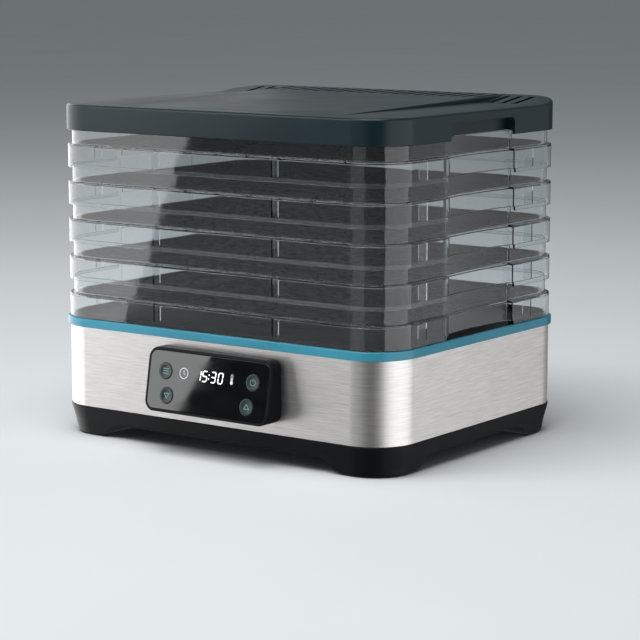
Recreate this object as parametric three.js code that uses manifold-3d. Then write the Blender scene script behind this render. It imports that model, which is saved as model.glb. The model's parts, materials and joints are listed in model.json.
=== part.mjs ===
// Food dehydrator: a square-sided base with fan and heater, five clear stacking trays and a vented lid.
// Millimetres, +Z up. The front, with the control pod, faces -Y; the base stands on Z = 0.

import * as THREE from "three";
import { mergeVertices } from "three/addons/utils/BufferGeometryUtils.js";
import Module from "manifold-3d";

const wasm = await Module();
wasm.setup();

// ---------------------------------------------------------------- driving dimensions

const WIDTH = 340; // lid outline, left to right
const DEPTH = 265; // lid outline, front to back
const CORNER = 36; // radius of the outline's corners
const CORNER_STEPS = 4;
const GAP = 0.3; // running gap left between pieces that touch

const PAD_HEIGHT = 3.2; // rubber pad, partly sunk in the foot
const FOOT_Z = 1.5; // underside of the moulded feet
const FLOOR_Z = 12; // underside of the chassis floor, and the top of the arches between the feet
const FLOOR_THICK = 3;
const FLANGE_Z = 25; // top of the black flange, where the steel starts
const STEEL_TOP = 91.7;
const RING_Z = 92;
const STACK_Z = 98.8; // top of the accent ring, where the trays start
const TRAY_COUNT = 5;
const TRAY_PITCH = 31;
const LID_Z = STACK_Z + TRAY_COUNT * TRAY_PITCH + GAP;
const LID_HEIGHT = 21.3; // straight side and its bevel, up to the flat front of the top
const RISE = 5; // how much higher the top is along its rear edge

// offsets from the lid outline, positive outwards
const RING_OUT = 1.3;
const RING_IN = -2.6;
const STEEL_OUT = -0.85;
const STEEL_THICK = 1;
const TUB_OUT = -2.3;
const TUB_IN = -5;
const SKIRT_OUT = -0.8;
const NECK_OUT = -4.2;
const WALL = 1.8;

// tray levels, from the underside of its skirt
const NEST = 3; // how far a neck reaches up inside the skirt above it
const SKIRT_TOP = 19.3;
const LEDGE_THICK = 1.8;
const LEDGE_IN = -14; // inner edge of the ledge that carries the mat
const RIB_PITCH = 31.2;
const RIB_WIDTH = 3;
const MAT_THICK = 1;
const MAT_OFFSET = -10.4;
const STAND_WIDTH = 1.6; // ribs inside a skirt, on which it stands on the neck below
const STAND_DEPTH = 8;
const STAND_X = 60; // along the front and rear, from the middle
const STAND_Y = 78; // along the sides

// finger recess in both sides
const RECESS_HALF = 47;
const RECESS_EDGE = 4.2; // depth at its ends
const RECESS_MID = 7; // depth in its middle

// lid
const LID_THICK = 3;
const LID_BEVEL = 2.5;
const LID_RIM = NEST + GAP; // the rim hangs this far below the lid's inner step
const LID_POCKET = 14; // height of the finger recess above the lid's lower edge
const LID_POCKET_DEPTH = 8;
const LID_POCKET_WALL = 12; // thickness of the wall that the recess is sunk in
const PLATFORM_HALF = 111.5; // half width of the raised platform
const PLATFORM_START = 22; // its front, from the lid's front edge
const SLOPE_FOOT = 94; // where the rest of the top starts to rise to the rear, behind the centre
const VENT_PITCH = 11.8;
const VENT_WIDTH = 4.6;
const VENT_FRONT = 86; // where the vent slots start, behind the centre
const VENT_BACK = 9; // and where they end, from the rear edge

// deck and chassis
const DECK_TOP = 97.5;
const DECK_THICK = 2.5;
const CROWN_HEIGHT = 3;
const CROWN_RIM = 10; // the crown is this much wider than the outlet grille
const CROWN_LEDGE = 7.5; // and the hollow under it this much
const CROWN_HOLLOW = 0.6; // how far that hollow reaches above the deck
const NOTCH_REACH = 13; // half length, across the rim, of the notch under each finger recess
const NOTCH_MARGIN = 3; // and how much longer than the recess it is at each end
const POST_RADIUS = 5;
const SMALL_POST_RADIUS = 4;
const BOARD_POST_RADIUS = 3;
const PILOT_RADIUS = 1.9; // hole that a screw cuts its own thread in
const CLEARANCE_RADIUS = 2.2; // hole that a screw passes through
const GRILLE_RADIUS = 58;
const GRILLE_PITCH = 12;
const GRILLE_SLOT = 6;
const FOOT_LENGTH = 48; // along each side, from the corner
const FOOT_BLEND = 18; // length of the curve from a foot up to the band
const FOOT_INSET = 27; // from the outline to the middle of a foot
const PAD_RADIUS = 11;
const CABLE_HOLE = { z: 60, halfWidth: 14, halfHeight: 6 };
const GLAND = { x: 105, z: 42, radius: 8, bore: 3.6, proud: 8 };
const POWER_BOARD = { x: 130, halfX: 22, halfY: 48, thick: 1.6 };
const BOARD_POST = 6; // height of the posts under it, with the gap

// control pod
const POD_X = 7.25; // centre of the pod
const POD_WIDTH = 124.5;
const POD_HEIGHT = 51;
const POD_LOW = 34.6; // height of its lower edge above the table
const POD_RADIUS = 9;
const POD_TOP_DEPTH = 10.3; // how far the upper edge stands off the steel
const POD_LOW_DEPTH = 19.3; // and the lower edge
const POD_TILT = Math.atan2(POD_LOW_DEPTH - POD_TOP_DEPTH, POD_HEIGHT);
const POD_SLOPE = Math.hypot(POD_LOW_DEPTH - POD_TOP_DEPTH, POD_HEIGHT); // height along its face
const RIM = 2.2; // width of the housing's rim round the glass
const GLASS_THICK = 2;
const KEY_RADIUS = 6.5;
const KEY_LENGTH = 4.5;
const KEY_PROUD = 0.3;
const POD_SCREW = 34; // from the pod's middle to its screws
const POD_SCREW_Z = 60;
const BOARD_Z = -6.7; // back of the control board, behind the face
const DISPLAY = { x: 0.5, y: 33.2, width: 62, height: 14, thick: 3.1 };
// key centres on the face: across from the pod's centre, and up from its lower edge
const KEYS = {
  key_menu: [-43.2, 33.3],
  key_down: [-40, 13.9],
  key_power: [44.6, 33.3],
  key_up: [40.6, 13.7],
};

// fan and heater
const DUCT_RADIUS = 66;
const FAN_RADIUS = 60;
const FAN_Z = 46;
const FAN_HEIGHT = 12;
const BLADES = 7;
const MOTOR_RADIUS = 24;
const MOTOR_Z = 19;
const MOTOR_HEIGHT = 20;
const SHAFT_RADIUS = 2.5;
const HEATER_Z = 72;
const COIL_RADIUS = 42;
const COIL_WIRE = 4;
const SCREW_X = 95;
const SCREW_Y = 60;
const SCREW_LENGTH = 11; // motor and pod screws
const CHASSIS_SCREW_LENGTH = 17;
const CHASSIS_PILOT_DEPTH = 22; // from the underside of the floor
const HEAD_RADIUS = 3.6;
const POD_HEAD_RADIUS = 4;
const SHANK_RADIUS = 1.6;
const BRACKET_Z = MOTOR_Z + MOTOR_HEIGHT + GAP;
const BRACKET_REACH = 76;
const BRACKET_THICK = 2;
const FLOOR_TOP = FLOOR_Z + FLOOR_THICK;

const FRONT_FACE = -DEPTH / 2 - STEEL_OUT; // the steel's front face
const REACH_FRONT = POD_LOW_DEPTH - FRONT_FACE;
const REACH_BACK = GLAND.proud - FRONT_FACE;
const SHIFT_Y = (REACH_FRONT - REACH_BACK) / 2; // centres the whole object's box on the origin

// ---------------------------------------------------------------- finishes

const FINISH = {
  charcoal: { color: 0x23282b, roughness: 0.45, metalness: 0 },
  black: { color: 0x15181a, roughness: 0.5, metalness: 0 },
  clear: { color: 0xc9d2d6, roughness: 0.08, metalness: 0, transparent: true, opacity: 0.3 },
  mesh: { color: 0x0b0c0d, roughness: 0.35, metalness: 0 },
  teal: { color: 0x2f93ad, roughness: 0.35, metalness: 0 },
  steel: { color: 0xb9b7b4, roughness: 0.32, metalness: 1 },
  rubber: { color: 0x0d0d0e, roughness: 0.9, metalness: 0 },
  glass: { color: 0x05070a, roughness: 0.04, metalness: 0 },
  key: { color: 0x14211f, roughness: 0.25, metalness: 0 },
  board: { color: 0x1f5a38, roughness: 0.6, metalness: 0 },
  lit: { color: 0xf2f6f8, roughness: 0.4, metalness: 0 },
  cable: { color: 0xb8bcc0, roughness: 0.5, metalness: 0 },
  plated: { color: 0xa7abae, roughness: 0.35, metalness: 1 },
  duct: { color: 0x9da2a5, roughness: 0.4, metalness: 1 },
  mica: { color: 0x9a8560, roughness: 0.7, metalness: 0 },
  wire: { color: 0x6e6a64, roughness: 0.5, metalness: 1 },
  ceramic: { color: 0xe6e1d6, roughness: 0.6, metalness: 0 },
};

// ---------------------------------------------------------------- solids

// A closed geometry as a manifold-3d solid, with its shared corners merged.
function solid(geometry) {
  const bare = geometry.index ? geometry.toNonIndexed() : geometry.clone();
  bare.deleteAttribute("normal");
  bare.deleteAttribute("uv");
  const merged = mergeVertices(bare, 1e-4);
  return new wasm.Manifold(
    new wasm.Mesh({
      numProp: 3,
      vertProperties: new Float32Array(merged.attributes.position.array),
      triVerts: new Uint32Array(merged.index.array),
    }),
  );
}

// A manifold-3d solid as a geometry.
function geometryOf(body) {
  const mesh = body.getMesh();
  const geometry = new THREE.BufferGeometry();
  const corners = new Float32Array(mesh.numVert * 3);
  for (let i = 0; i < mesh.numVert; i++) {
    corners.set(mesh.vertProperties.subarray(i * mesh.numProp, i * mesh.numProp + 3), i * 3);
  }
  geometry.setAttribute("position", new THREE.BufferAttribute(corners, 3));
  geometry.setIndex(new THREE.BufferAttribute(mesh.triVerts, 1));
  geometry.computeVertexNormals();
  return geometry;
}

const join = (first, ...rest) => rest.reduce((all, next) => all.add(next), first);
const cut = (body, ...tools) => tools.reduce((left, tool) => left.subtract(tool), body);

// A box between two corners.
function box(x0, y0, z0, x1, y1, z1) {
  const geometry = new THREE.BoxGeometry(x1 - x0, y1 - y0, z1 - z0);
  return solid(geometry.translate((x0 + x1) / 2, (y0 + y1) / 2, (z0 + z1) / 2));
}

// An upright cylinder on the point x, y, between two heights.
function drum(x, y, z0, z1, radius, sides = 20) {
  const geometry = new THREE.CylinderGeometry(radius, radius, z1 - z0, sides);
  return solid(geometry.rotateX(Math.PI / 2).translate(x, y, (z0 + z1) / 2));
}

// A profile of [radius, z] points turned about the Z axis.
function turned(profile, sides = 32) {
  const points = profile.map(([r, z]) => new THREE.Vector2(r, z));
  return solid(new THREE.LatheGeometry(points, sides).rotateX(Math.PI / 2));
}

// A flat outline extruded upwards from z0 to z1.
function plate(shape, z0, z1, curveSegments = 6) {
  const geometry = new THREE.ExtrudeGeometry(shape, {
    depth: z1 - z0,
    bevelEnabled: false,
    curveSegments,
  });
  return solid(geometry.translate(0, 0, z0));
}

// A rectangle with round corners, centred on the origin.
function roundedRectangle(width, height, radius) {
  const shape = new THREE.Shape();
  const x = width / 2 - radius;
  const y = height / 2 - radius;
  shape.absarc(x, -y, radius, -Math.PI / 2, 0);
  shape.absarc(x, y, radius, 0, Math.PI / 2);
  shape.absarc(-x, y, radius, Math.PI / 2, Math.PI);
  shape.absarc(-x, -y, radius, Math.PI, 1.5 * Math.PI);
  shape.closePath();
  return shape;
}

// ---------------------------------------------------------------- outlines and shells

// Depth of the finger recess at y.
function recessDepth(y) {
  const across = y / RECESS_HALF;
  return RECESS_EDGE + (RECESS_MID - RECESS_EDGE) * (1 - across * across);
}

// Stations along one end of the recess: first the skirt's lower edge steps up, then the inner face of
// the wall steps in, then its outer face.
const RECESS_STEPS = [
  { y: -RECESS_HALF - 3.2, raised: 0, inner: 0, outer: 0 },
  { y: -RECESS_HALF - 2.6, raised: 1, inner: 0, outer: 0 },
  { y: -RECESS_HALF - 2.0, raised: 1, inner: 1, outer: 0 },
  { y: -RECESS_HALF, raised: 1, inner: 1, outer: 0 },
  { y: -RECESS_HALF + 0.4, raised: 1, inner: 1, outer: 1 },
];

// The stations down one side that has a finger recess, from the front to the rear.
function recessStations() {
  const middle = [-0.5, 0, 0.5].map((share) => ({
    y: share * RECESS_HALF,
    raised: 1,
    inner: 1,
    outer: 1,
  }));
  const rear = RECESS_STEPS.map((step) => ({ ...step, y: -step.y })).reverse();
  return [...RECESS_STEPS, ...middle, ...rear];
}

// The outline as stations, anticlockwise from above: a point, its outward direction and the recess there.
function outline(recessed) {
  const stations = [];
  const corner = (sx, sy, start) => {
    for (let k = 0; k <= CORNER_STEPS; k++) {
      const angle = start + (k / CORNER_STEPS) * (Math.PI / 2);
      const nx = Math.cos(angle);
      const ny = Math.sin(angle);
      const x = sx * (WIDTH / 2 - CORNER) + nx * CORNER;
      const y = sy * (DEPTH / 2 - CORNER) + ny * CORNER;
      stations.push({ x, y, nx, ny, raised: 0, inner: 0, outer: 0 });
    }
  };
  const side = (sx) => {
    if (!recessed) return;
    for (const step of recessStations()) {
      stations.push({ ...step, x: (sx * WIDTH) / 2, y: sx * step.y, nx: sx, ny: 0 });
    }
  };
  corner(1, -1, -Math.PI / 2);
  side(1);
  corner(1, 1, 0);
  corner(-1, 1, Math.PI / 2);
  side(-1);
  corner(-1, -1, Math.PI);
  return stations;
}

const PLAIN = outline(false);
const RECESSED = outline(true);

// A closed section of [offset, z] points, anticlockwise with offset to the right, carried round.
function ring(stations, sectionAt) {
  const rows = stations.map((station) => sectionAt(station));
  const count = rows[0].length;
  const corners = [];
  stations.forEach((s, i) => {
    for (const [offset, z] of rows[i]) corners.push(s.x + s.nx * offset, s.y + s.ny * offset, z);
  });
  const faces = [];
  for (let i = 0; i < stations.length; i++) {
    const next = (i + 1) % stations.length;
    for (let j = 0; j < count; j++) {
      const up = (j + 1) % count;
      faces.push(i * count + j, next * count + j, next * count + up);
      faces.push(i * count + j, next * count + up, i * count + up);
    }
  }
  return fromFaces(corners, faces);
}

// A solid block whose side passes through the [offset, z] levels, closed flat at both ends.
function block(levels) {
  const count = levels.length;
  const corners = [];
  for (const s of PLAIN) {
    for (const [offset, z] of levels) corners.push(s.x + s.nx * offset, s.y + s.ny * offset, z);
  }
  const low = PLAIN.length * count;
  corners.push(0, 0, levels[0][1], 0, 0, levels[count - 1][1]);
  const faces = [];
  for (let i = 0; i < PLAIN.length; i++) {
    const a = i * count;
    const b = ((i + 1) % PLAIN.length) * count;
    for (let j = 0; j + 1 < count; j++) faces.push(a + j, b + j, b + j + 1, a + j, b + j + 1, a + j + 1);
    faces.push(low, b, a, low + 1, a + count - 1, b + count - 1);
  }
  return fromFaces(corners, faces);
}

function fromFaces(corners, faces) {
  const geometry = new THREE.BufferGeometry();
  geometry.setAttribute("position", new THREE.Float32BufferAttribute(corners, 3));
  geometry.setIndex(faces);
  return solid(geometry);
}

// ---------------------------------------------------------------- the assembly

const machine = new THREE.Group();
machine.position.y = SHIFT_Y;

function add(name, body, finish, parent = machine) {
  const geometry = body.isBufferGeometry ? body : geometryOf(body);
  const mesh = new THREE.Mesh(geometry, new THREE.MeshStandardMaterial(FINISH[finish]));
  mesh.name = name;
  parent.add(mesh);
  return mesh;
}

// ---------------------------------------------------------------- trays

// The section of a tray's wall: skirt, ledge and neck.
function traySection({ y, raised, inner, outer }) {
  const depth = recessDepth(y);
  const bottom = raised ? NEST + GAP : 0;
  const skirtOut = outer ? SKIRT_OUT - depth : SKIRT_OUT;
  const skirtIn = inner ? SKIRT_OUT - WALL - depth : SKIRT_OUT - WALL;
  const neckOut = outer ? SKIRT_OUT - depth - 0.4 : NECK_OUT;
  const neckIn = inner ? SKIRT_OUT - WALL - depth : NECK_OUT - WALL;
  return [
    [skirtOut, bottom],
    [skirtOut, SKIRT_TOP],
    [neckOut, SKIRT_TOP],
    [neckOut, TRAY_PITCH + NEST],
    [neckIn, TRAY_PITCH + NEST],
    [neckIn, SKIRT_TOP],
    [LEDGE_IN, SKIRT_TOP],
    [LEDGE_IN, SKIRT_TOP - LEDGE_THICK],
    [skirtIn, SKIRT_TOP - LEDGE_THICK],
    [skirtIn, bottom],
  ];
}

// Ribs inside a skirt that stand on the neck below: two at the front, two at the rear, two on each side.
function stands(low, top) {
  const bodies = [];
  const thick = STAND_WIDTH / 2;
  const deep = STAND_DEPTH / 2;
  const x = WIDTH / 2 - 2 - deep;
  const y = DEPTH / 2 - 2 - deep;
  for (const sx of [-1, 1]) {
    for (const sy of [-1, 1]) {
      const [endX, endY] = [sx * STAND_X, sy * y];
      bodies.push(box(endX - thick, endY - deep, low, endX + thick, endY + deep, top));
      const [sideX, sideY] = [sx * x, sy * STAND_Y];
      bodies.push(box(sideX - deep, sideY - thick, low, sideX + deep, sideY + thick, top));
    }
  }
  return bodies;
}

function trayBody() {
  const low = SKIRT_TOP - LEDGE_THICK;
  const reach = DEPTH / 2 + LEDGE_IN + 2; // the ribs run into the ledge at both ends
  const ribs = [];
  for (let x = -4 * RIB_PITCH; x <= 4 * RIB_PITCH; x += RIB_PITCH) {
    ribs.push(box(x - RIB_WIDTH / 2, -reach, low, x + RIB_WIDTH / 2, reach, SKIRT_TOP));
  }
  return join(ring(RECESSED, traySection), ...stands(NEST + GAP, low + 1), ...ribs);
}

function matBody() {
  const width = WIDTH + 2 * MAT_OFFSET;
  const depth = DEPTH + 2 * MAT_OFFSET;
  return plate(roundedRectangle(width, depth, CORNER + MAT_OFFSET), 0, MAT_THICK, 3);
}

const trayGeometry = geometryOf(trayBody());
const matGeometry = geometryOf(matBody());
for (let n = 1; n <= TRAY_COUNT; n++) {
  const z = STACK_Z + GAP + (n - 1) * TRAY_PITCH;
  add(`tray_${n}`, trayGeometry, "clear").position.z = z;
  add(`mesh_mat_${n}`, matGeometry, "mesh").position.z = z + SKIRT_TOP + GAP;
}

// ---------------------------------------------------------------- lid

function lidBody() {
  const top = LID_Z + LID_HEIGHT;
  const inside = top - LID_THICK;
  const step = LID_Z + LID_RIM;
  const side = SKIRT_OUT - WALL;
  const shell = risen(
    block([[0, LID_Z], [0, top - LID_BEVEL], [-0.6, top - 0.8], [-LID_BEVEL, top]]),
    top - LID_BEVEL,
  );
  const hollow = risen(block([[side, LID_Z - 1], [side, inside]]), inside);
  const pocketWall = (sign) => {
    const outer = (sign * WIDTH) / 2;
    const [x0, x1] = [outer, outer - sign * LID_POCKET_WALL].sort((p, q) => p - q);
    return box(x0, -RECESS_HALF - 3, step, x1, RECESS_HALF + 3, inside + 1);
  };
  const solids = [cut(shell, hollow), platform(top, 0), ...stands(step, inside + 1)];
  const filled = join(...solids, pocketWall(1), pocketWall(-1));
  return cut(filled, platform(inside, LID_THICK), pocket(1), pocket(-1), ...vents(inside, top + RISE));
}

// A block with all that is above a height sheared upwards behind the slope's foot.
function risen(body, above) {
  const slope = RISE / (DEPTH / 2 - LID_BEVEL - SLOPE_FOOT);
  const front = body.trimByPlane([0, -1, 0], -SLOPE_FOOT);
  const rear = body.trimByPlane([0, 1, 0], SLOPE_FOOT).warp((corner) => {
    const lift = corner[1] - SLOPE_FOOT;
    if (corner[2] > above - 0.01) corner[2] += slope * Math.min(lift, RISE / slope);
  });
  return join(front, rear);
}

// The raised platform, flush near the front and rising to the rear, drawn in by an inset.
function platform(top, inset) {
  const front = -DEPTH / 2 + PLATFORM_START + inset;
  const back = DEPTH / 2 - LID_BEVEL - inset;
  const half = PLATFORM_HALF - inset;
  const side = new THREE.Shape([
    new THREE.Vector2(front, -1),
    new THREE.Vector2(back, -1),
    new THREE.Vector2(back, RISE),
    new THREE.Vector2(front, 0.1),
  ]);
  const geometry = new THREE.ExtrudeGeometry(side, { depth: 2 * half, bevelEnabled: false });
  geometry.rotateX(Math.PI / 2).rotateZ(Math.PI / 2);
  return solid(geometry.translate(-half, 0, top));
}

// The finger recess in one side of the lid: open below, with round upper corners.
function pocket(side) {
  const radius = 5;
  const half = RECESS_HALF;
  const shape = new THREE.Shape();
  shape.moveTo(-half, -2);
  shape.lineTo(half, -2);
  shape.absarc(half - radius, LID_POCKET - radius, radius, 0, Math.PI / 2);
  shape.absarc(-half + radius, LID_POCKET - radius, radius, Math.PI / 2, Math.PI);
  shape.closePath();
  const depth = LID_POCKET_DEPTH + 1;
  const geometry = new THREE.ExtrudeGeometry(shape, { depth, bevelEnabled: false, curveSegments: 4 });
  geometry.rotateX(Math.PI / 2).rotateZ(Math.PI / 2);
  const start = side > 0 ? WIDTH / 2 - LID_POCKET_DEPTH : -WIDTH / 2 - 1;
  return solid(geometry.translate(start, 0, LID_Z));
}

// Vent slots across the rear of the lid, running front to back.
function vents(low, high) {
  const slots = [];
  const last = Math.floor((WIDTH / 2 - 22) / VENT_PITCH);
  const back = DEPTH / 2 - VENT_BACK;
  for (let k = -last; k <= last; k++) {
    const x = k * VENT_PITCH;
    slots.push(box(x - VENT_WIDTH / 2, VENT_FRONT, low - 1, x + VENT_WIDTH / 2, back, high + 1));
  }
  return slots;
}

add("lid", lidBody(), "charcoal");

// ---------------------------------------------------------------- base shells

function deckBody() {
  const low = RING_Z;
  const shell = block([
    [RING_IN - GAP, low],
    [RING_IN - GAP, STACK_Z - GAP],
    [NECK_OUT, STACK_Z - GAP],
    [NECK_OUT, STACK_Z + NEST],
  ]);
  const above = block([[NECK_OUT - WALL, DECK_TOP], [NECK_OUT - WALL, STACK_Z + NEST + 1]]);
  const below = block([[TUB_IN - 0.4, low - 1], [TUB_IN - 0.4, DECK_TOP - DECK_THICK]]);
  const notch = (side) => {
    const x = (side * WIDTH) / 2;
    const y = RECESS_HALF + NOTCH_MARGIN;
    return box(x - NOTCH_REACH, -y, STACK_Z - GAP, x + NOTCH_REACH, y, STACK_Z + NEST + 1);
  };
  const plateOnly = cut(shell, above, below, notch(1), notch(-1));
  const crown = drum(0, 0, DECK_TOP - 1, DECK_TOP + CROWN_HEIGHT, GRILLE_RADIUS + CROWN_RIM, 32);
  const under = DECK_TOP - DECK_THICK - 1;
  const crownHollow = drum(0, 0, under, DECK_TOP + CROWN_HOLLOW, GRILLE_RADIUS + CROWN_LEDGE, 32);
  const slots = grille(2, under - 1, DECK_TOP + CROWN_HEIGHT + 2);
  return cut(join(cut(join(plateOnly, crown), crownHollow), ...posts()), ...slots, ...pilots());
}

// Posts under the deck that take the chassis screws.
function posts() {
  return eachScrew((x, y) => drum(x, y, FLOOR_TOP + GAP, DECK_TOP - 1, POST_RADIUS, 10));
}

function pilots() {
  return eachScrew((x, y) => drum(x, y, FLOOR_Z, FLOOR_Z + CHASSIS_PILOT_DEPTH, PILOT_RADIUS, 8));
}

function eachScrew(make) {
  const made = [];
  for (const sx of [-1, 1]) {
    for (const sy of [-1, 1]) made.push(make(sx * SCREW_X, sy * SCREW_Y));
  }
  return made;
}

// Slots in rows across a round grille, parted along its middle by a rib whose half width is spine.
function grille(spine, z0, z1) {
  const slots = [];
  for (let k = -4; k <= 4; k++) {
    const y = k * GRILLE_PITCH;
    const half = Math.sqrt(GRILLE_RADIUS * GRILLE_RADIUS - y * y);
    const [front, rear] = [y - GRILLE_SLOT / 2, y + GRILLE_SLOT / 2];
    slots.push(box(-half, front, z0, -spine, rear, z1), box(spine, front, z0, half, rear, z1));
  }
  return slots;
}

add("base_deck", deckBody(), "black");

add(
  "accent_ring",
  ring(PLAIN, () => [
    [RING_OUT, RING_Z],
    [RING_OUT, STACK_Z],
    [RING_IN, STACK_Z],
    [RING_IN, RING_Z],
  ]),
  "teal",
);

// The opening behind the pod for the flat cable, cut through steel and tub.
function cableHole() {
  const { z, halfWidth, halfHeight } = CABLE_HOLE;
  const [left, right] = [POD_X - halfWidth, POD_X + halfWidth];
  return box(left, FRONT_FACE - POD_LOW_DEPTH, z - halfHeight, right, -DEPTH / 2 + 12, z + halfHeight);
}

// Holes for the two screws that hold the pod.
function podScrewHoles(radius, y0 = -DEPTH / 2 - 5, y1 = -DEPTH / 2 + 12) {
  return [-1, 1].map((side) => rod(POD_X + side * POD_SCREW, POD_SCREW_Z, y0, y1, radius, 8));
}

// A cylinder along Y.
function rod(x, z, y0, y1, radius, sides = 16) {
  const geometry = new THREE.CylinderGeometry(radius, radius, y1 - y0, sides);
  return solid(geometry.translate(x, (y0 + y1) / 2, z));
}

// The hole for the cable gland in the rear wall.
function glandHole() {
  return rod(GLAND.x, GLAND.z, DEPTH / 2 - 12, DEPTH / 2 + 5, GLAND.radius, 16);
}

add(
  "steel_wrap",
  cut(
    ring(PLAIN, () => [
      [STEEL_OUT, FLANGE_Z + GAP],
      [STEEL_OUT, STEEL_TOP],
      [STEEL_OUT - STEEL_THICK, STEEL_TOP],
      [STEEL_OUT - STEEL_THICK, FLANGE_Z + GAP],
    ]),
    cableHole(),
    ...podScrewHoles(CLEARANCE_RADIUS),
    glandHole(),
  ),
  "steel",
);

// The space between the feet, along X: an arch whose ends sweep up in a smooth curve.
function arch(halfSpan, reach) {
  const low = halfSpan - FOOT_LENGTH;
  const high = low - FOOT_BLEND;
  const ease = 7; // how far the curve runs on level at both its ends
  const shape = new THREE.Shape();
  shape.moveTo(-low, -1);
  shape.lineTo(low, -1);
  shape.lineTo(low, FOOT_Z);
  shape.bezierCurveTo(low - ease, FOOT_Z, high + ease, FLOOR_Z, high, FLOOR_Z);
  shape.lineTo(-high, FLOOR_Z);
  shape.bezierCurveTo(-high - ease, FLOOR_Z, -low + ease, FOOT_Z, -low, FOOT_Z);
  shape.closePath();
  const depth = 2 * reach;
  const geometry = new THREE.ExtrudeGeometry(shape, { depth, bevelEnabled: false, curveSegments: 5 });
  return geometry.translate(0, 0, -reach).rotateX(Math.PI / 2);
}

const FOOT_CENTRES = [
  ["front_left", -1, -1],
  ["front_right", 1, -1],
  ["rear_left", -1, 1],
  ["rear_right", 1, 1],
].map(([name, sx, sy]) => [name, sx * (WIDTH / 2 - FOOT_INSET), sy * (DEPTH / 2 - FOOT_INSET)]);

function chassisBody() {
  const shell = block([
    [-5.5, FOOT_Z],
    [-3.4, FLOOR_Z],
    [-0.5, FLANGE_Z - 2.5],
    [-0.3, FLANGE_Z],
    [TUB_OUT, FLANGE_Z],
    [TUB_OUT, STEEL_TOP],
  ]);
  const hollow = block([[TUB_IN, FLOOR_Z + FLOOR_THICK], [TUB_IN, STEEL_TOP + 1]]);
  const sides = solid(arch(WIDTH / 2, DEPTH));
  const ends = solid(arch(DEPTH / 2, WIDTH).rotateZ(Math.PI / 2));
  const pockets = FOOT_CENTRES.map(([, x, y]) => drum(x, y, 0, PAD_HEIGHT + GAP, PAD_RADIUS + GAP, 16));
  const [below, over] = [FLOOR_Z - 1, FLOOR_TOP + 1];
  const holes = eachScrew((x, y) => drum(x, y, below, over, CLEARANCE_RADIUS, 8));
  const empty = cut(shell, hollow, sides, ends, ...pockets, ...holes, ...grille(3, below, over));
  const posted = join(empty, ...motorPosts(), ...smallPosts());
  return cut(posted, cableHole(), glandHole(), ...podScrewHoles(CLEARANCE_RADIUS), ...motorPilots());
}

// Two posts beside the duct that carry the motor bracket.
function motorPosts() {
  return [-1, 1].map((side) => {
    return drum(side * BRACKET_REACH, 0, FLOOR_Z + 1, BRACKET_Z - GAP, POST_RADIUS, 10);
  });
}

// Two more in front of and behind the duct, under its ears, and four short ones under the mains board.
function smallPosts() {
  const posts = [-1, 1].map((side) => {
    return drum(0, side * (DUCT_RADIUS + 5), FLOOR_Z + 1, FAN_Z - 4 - GAP, SMALL_POST_RADIUS, 8);
  });
  const { x, halfX, halfY } = POWER_BOARD;
  const high = FLOOR_TOP + BOARD_POST - GAP;
  for (const sx of [-1, 1]) {
    for (const sy of [-1, 1]) {
      const [postX, postY] = [x + sx * (halfX - 4), sy * (halfY - 4)];
      posts.push(drum(postX, postY, FLOOR_Z + 1, high, BOARD_POST_RADIUS, 8));
    }
  }
  return posts;
}

function motorPilots() {
  return [-1, 1].map((side) => {
    return drum(side * BRACKET_REACH, 0, BRACKET_Z - 12, BRACKET_Z + 1, PILOT_RADIUS, 8);
  });
}

add("bottom_chassis", chassisBody(), "black");
for (const [name, x, y] of FOOT_CENTRES) {
  add(`foot_pad_${name}`, drum(x, y, 0, PAD_HEIGHT, PAD_RADIUS, 16), "rubber");
}

// A screw with a domed head, pointing up from z = 0: the head lies below, the shank above.
function screwBody(length, headRadius) {
  return turned(
    [
      [0, -2],
      [headRadius * 0.7, -2],
      [headRadius, 0],
      [SHANK_RADIUS, 0],
      [SHANK_RADIUS, length - 1],
      [0, length],
    ],
    8,
  );
}

FOOT_CENTRES.forEach(([name, x, y]) => {
  const screw = add(`chassis_screw_${name}`, screwBody(CHASSIS_SCREW_LENGTH, HEAD_RADIUS), "plated");
  screw.position.set(Math.sign(x) * SCREW_X, Math.sign(y) * SCREW_Y, FLOOR_Z - GAP);
});

// The strain-relief bush in the rear wall, with a bore for a mains lead.
function glandBody() {
  const bore = GLAND.bore;
  const neck = GLAND.radius - GAP;
  const flange = GLAND.radius + 2.5;
  const back = -FRONT_FACE; // the steel's rear face
  const geometry = new THREE.LatheGeometry(
    [
      [bore, back - 8],
      [neck, back - 8],
      [neck, back + GAP],
      [flange, back + GAP],
      [flange, back + 2.5],
      [bore + 2.2, back + GLAND.proud],
      [bore, back + GLAND.proud],
      [bore, back - 8],
    ].map(([r, z]) => new THREE.Vector2(r, z)),
    16,
  );
  return solid(geometry.translate(GLAND.x, 0, GLAND.z));
}

add("cord_gland", glandBody(), "rubber");

// ---------------------------------------------------------------- control pod

// The pod's face frame: x across, y up the face, z straight out of it, from the middle of its lower edge.
const face = new THREE.Group();
face.position.set(POD_X, FRONT_FACE - POD_LOW_DEPTH, POD_LOW);
face.rotation.x = Math.PI / 2 - POD_TILT;
machine.add(face);

// A geometry drawn in the face frame, as a solid in the machine's frame.
face.updateMatrix();
function fromFace(geometry) {
  return solid(geometry.applyMatrix4(face.matrix));
}

// Everything ahead of a plane parallel to the pod's face.
function aheadOf(z) {
  return fromFace(new THREE.BoxGeometry(300, 300, 60).translate(0, 0, z + 30));
}

// A rounded rectangle in the face frame, inset from the pod's outline.
function facePlate(inset, z0, z1) {
  const shape = roundedRectangle(
    POD_WIDTH - 2 * inset,
    POD_SLOPE - 2 * inset,
    POD_RADIUS - inset,
  );
  const geometry = new THREE.ExtrudeGeometry(shape, {
    depth: z1 - z0,
    bevelEnabled: false,
    curveSegments: 5,
  });
  return geometry.translate(0, POD_SLOPE / 2, z0);
}

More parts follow.
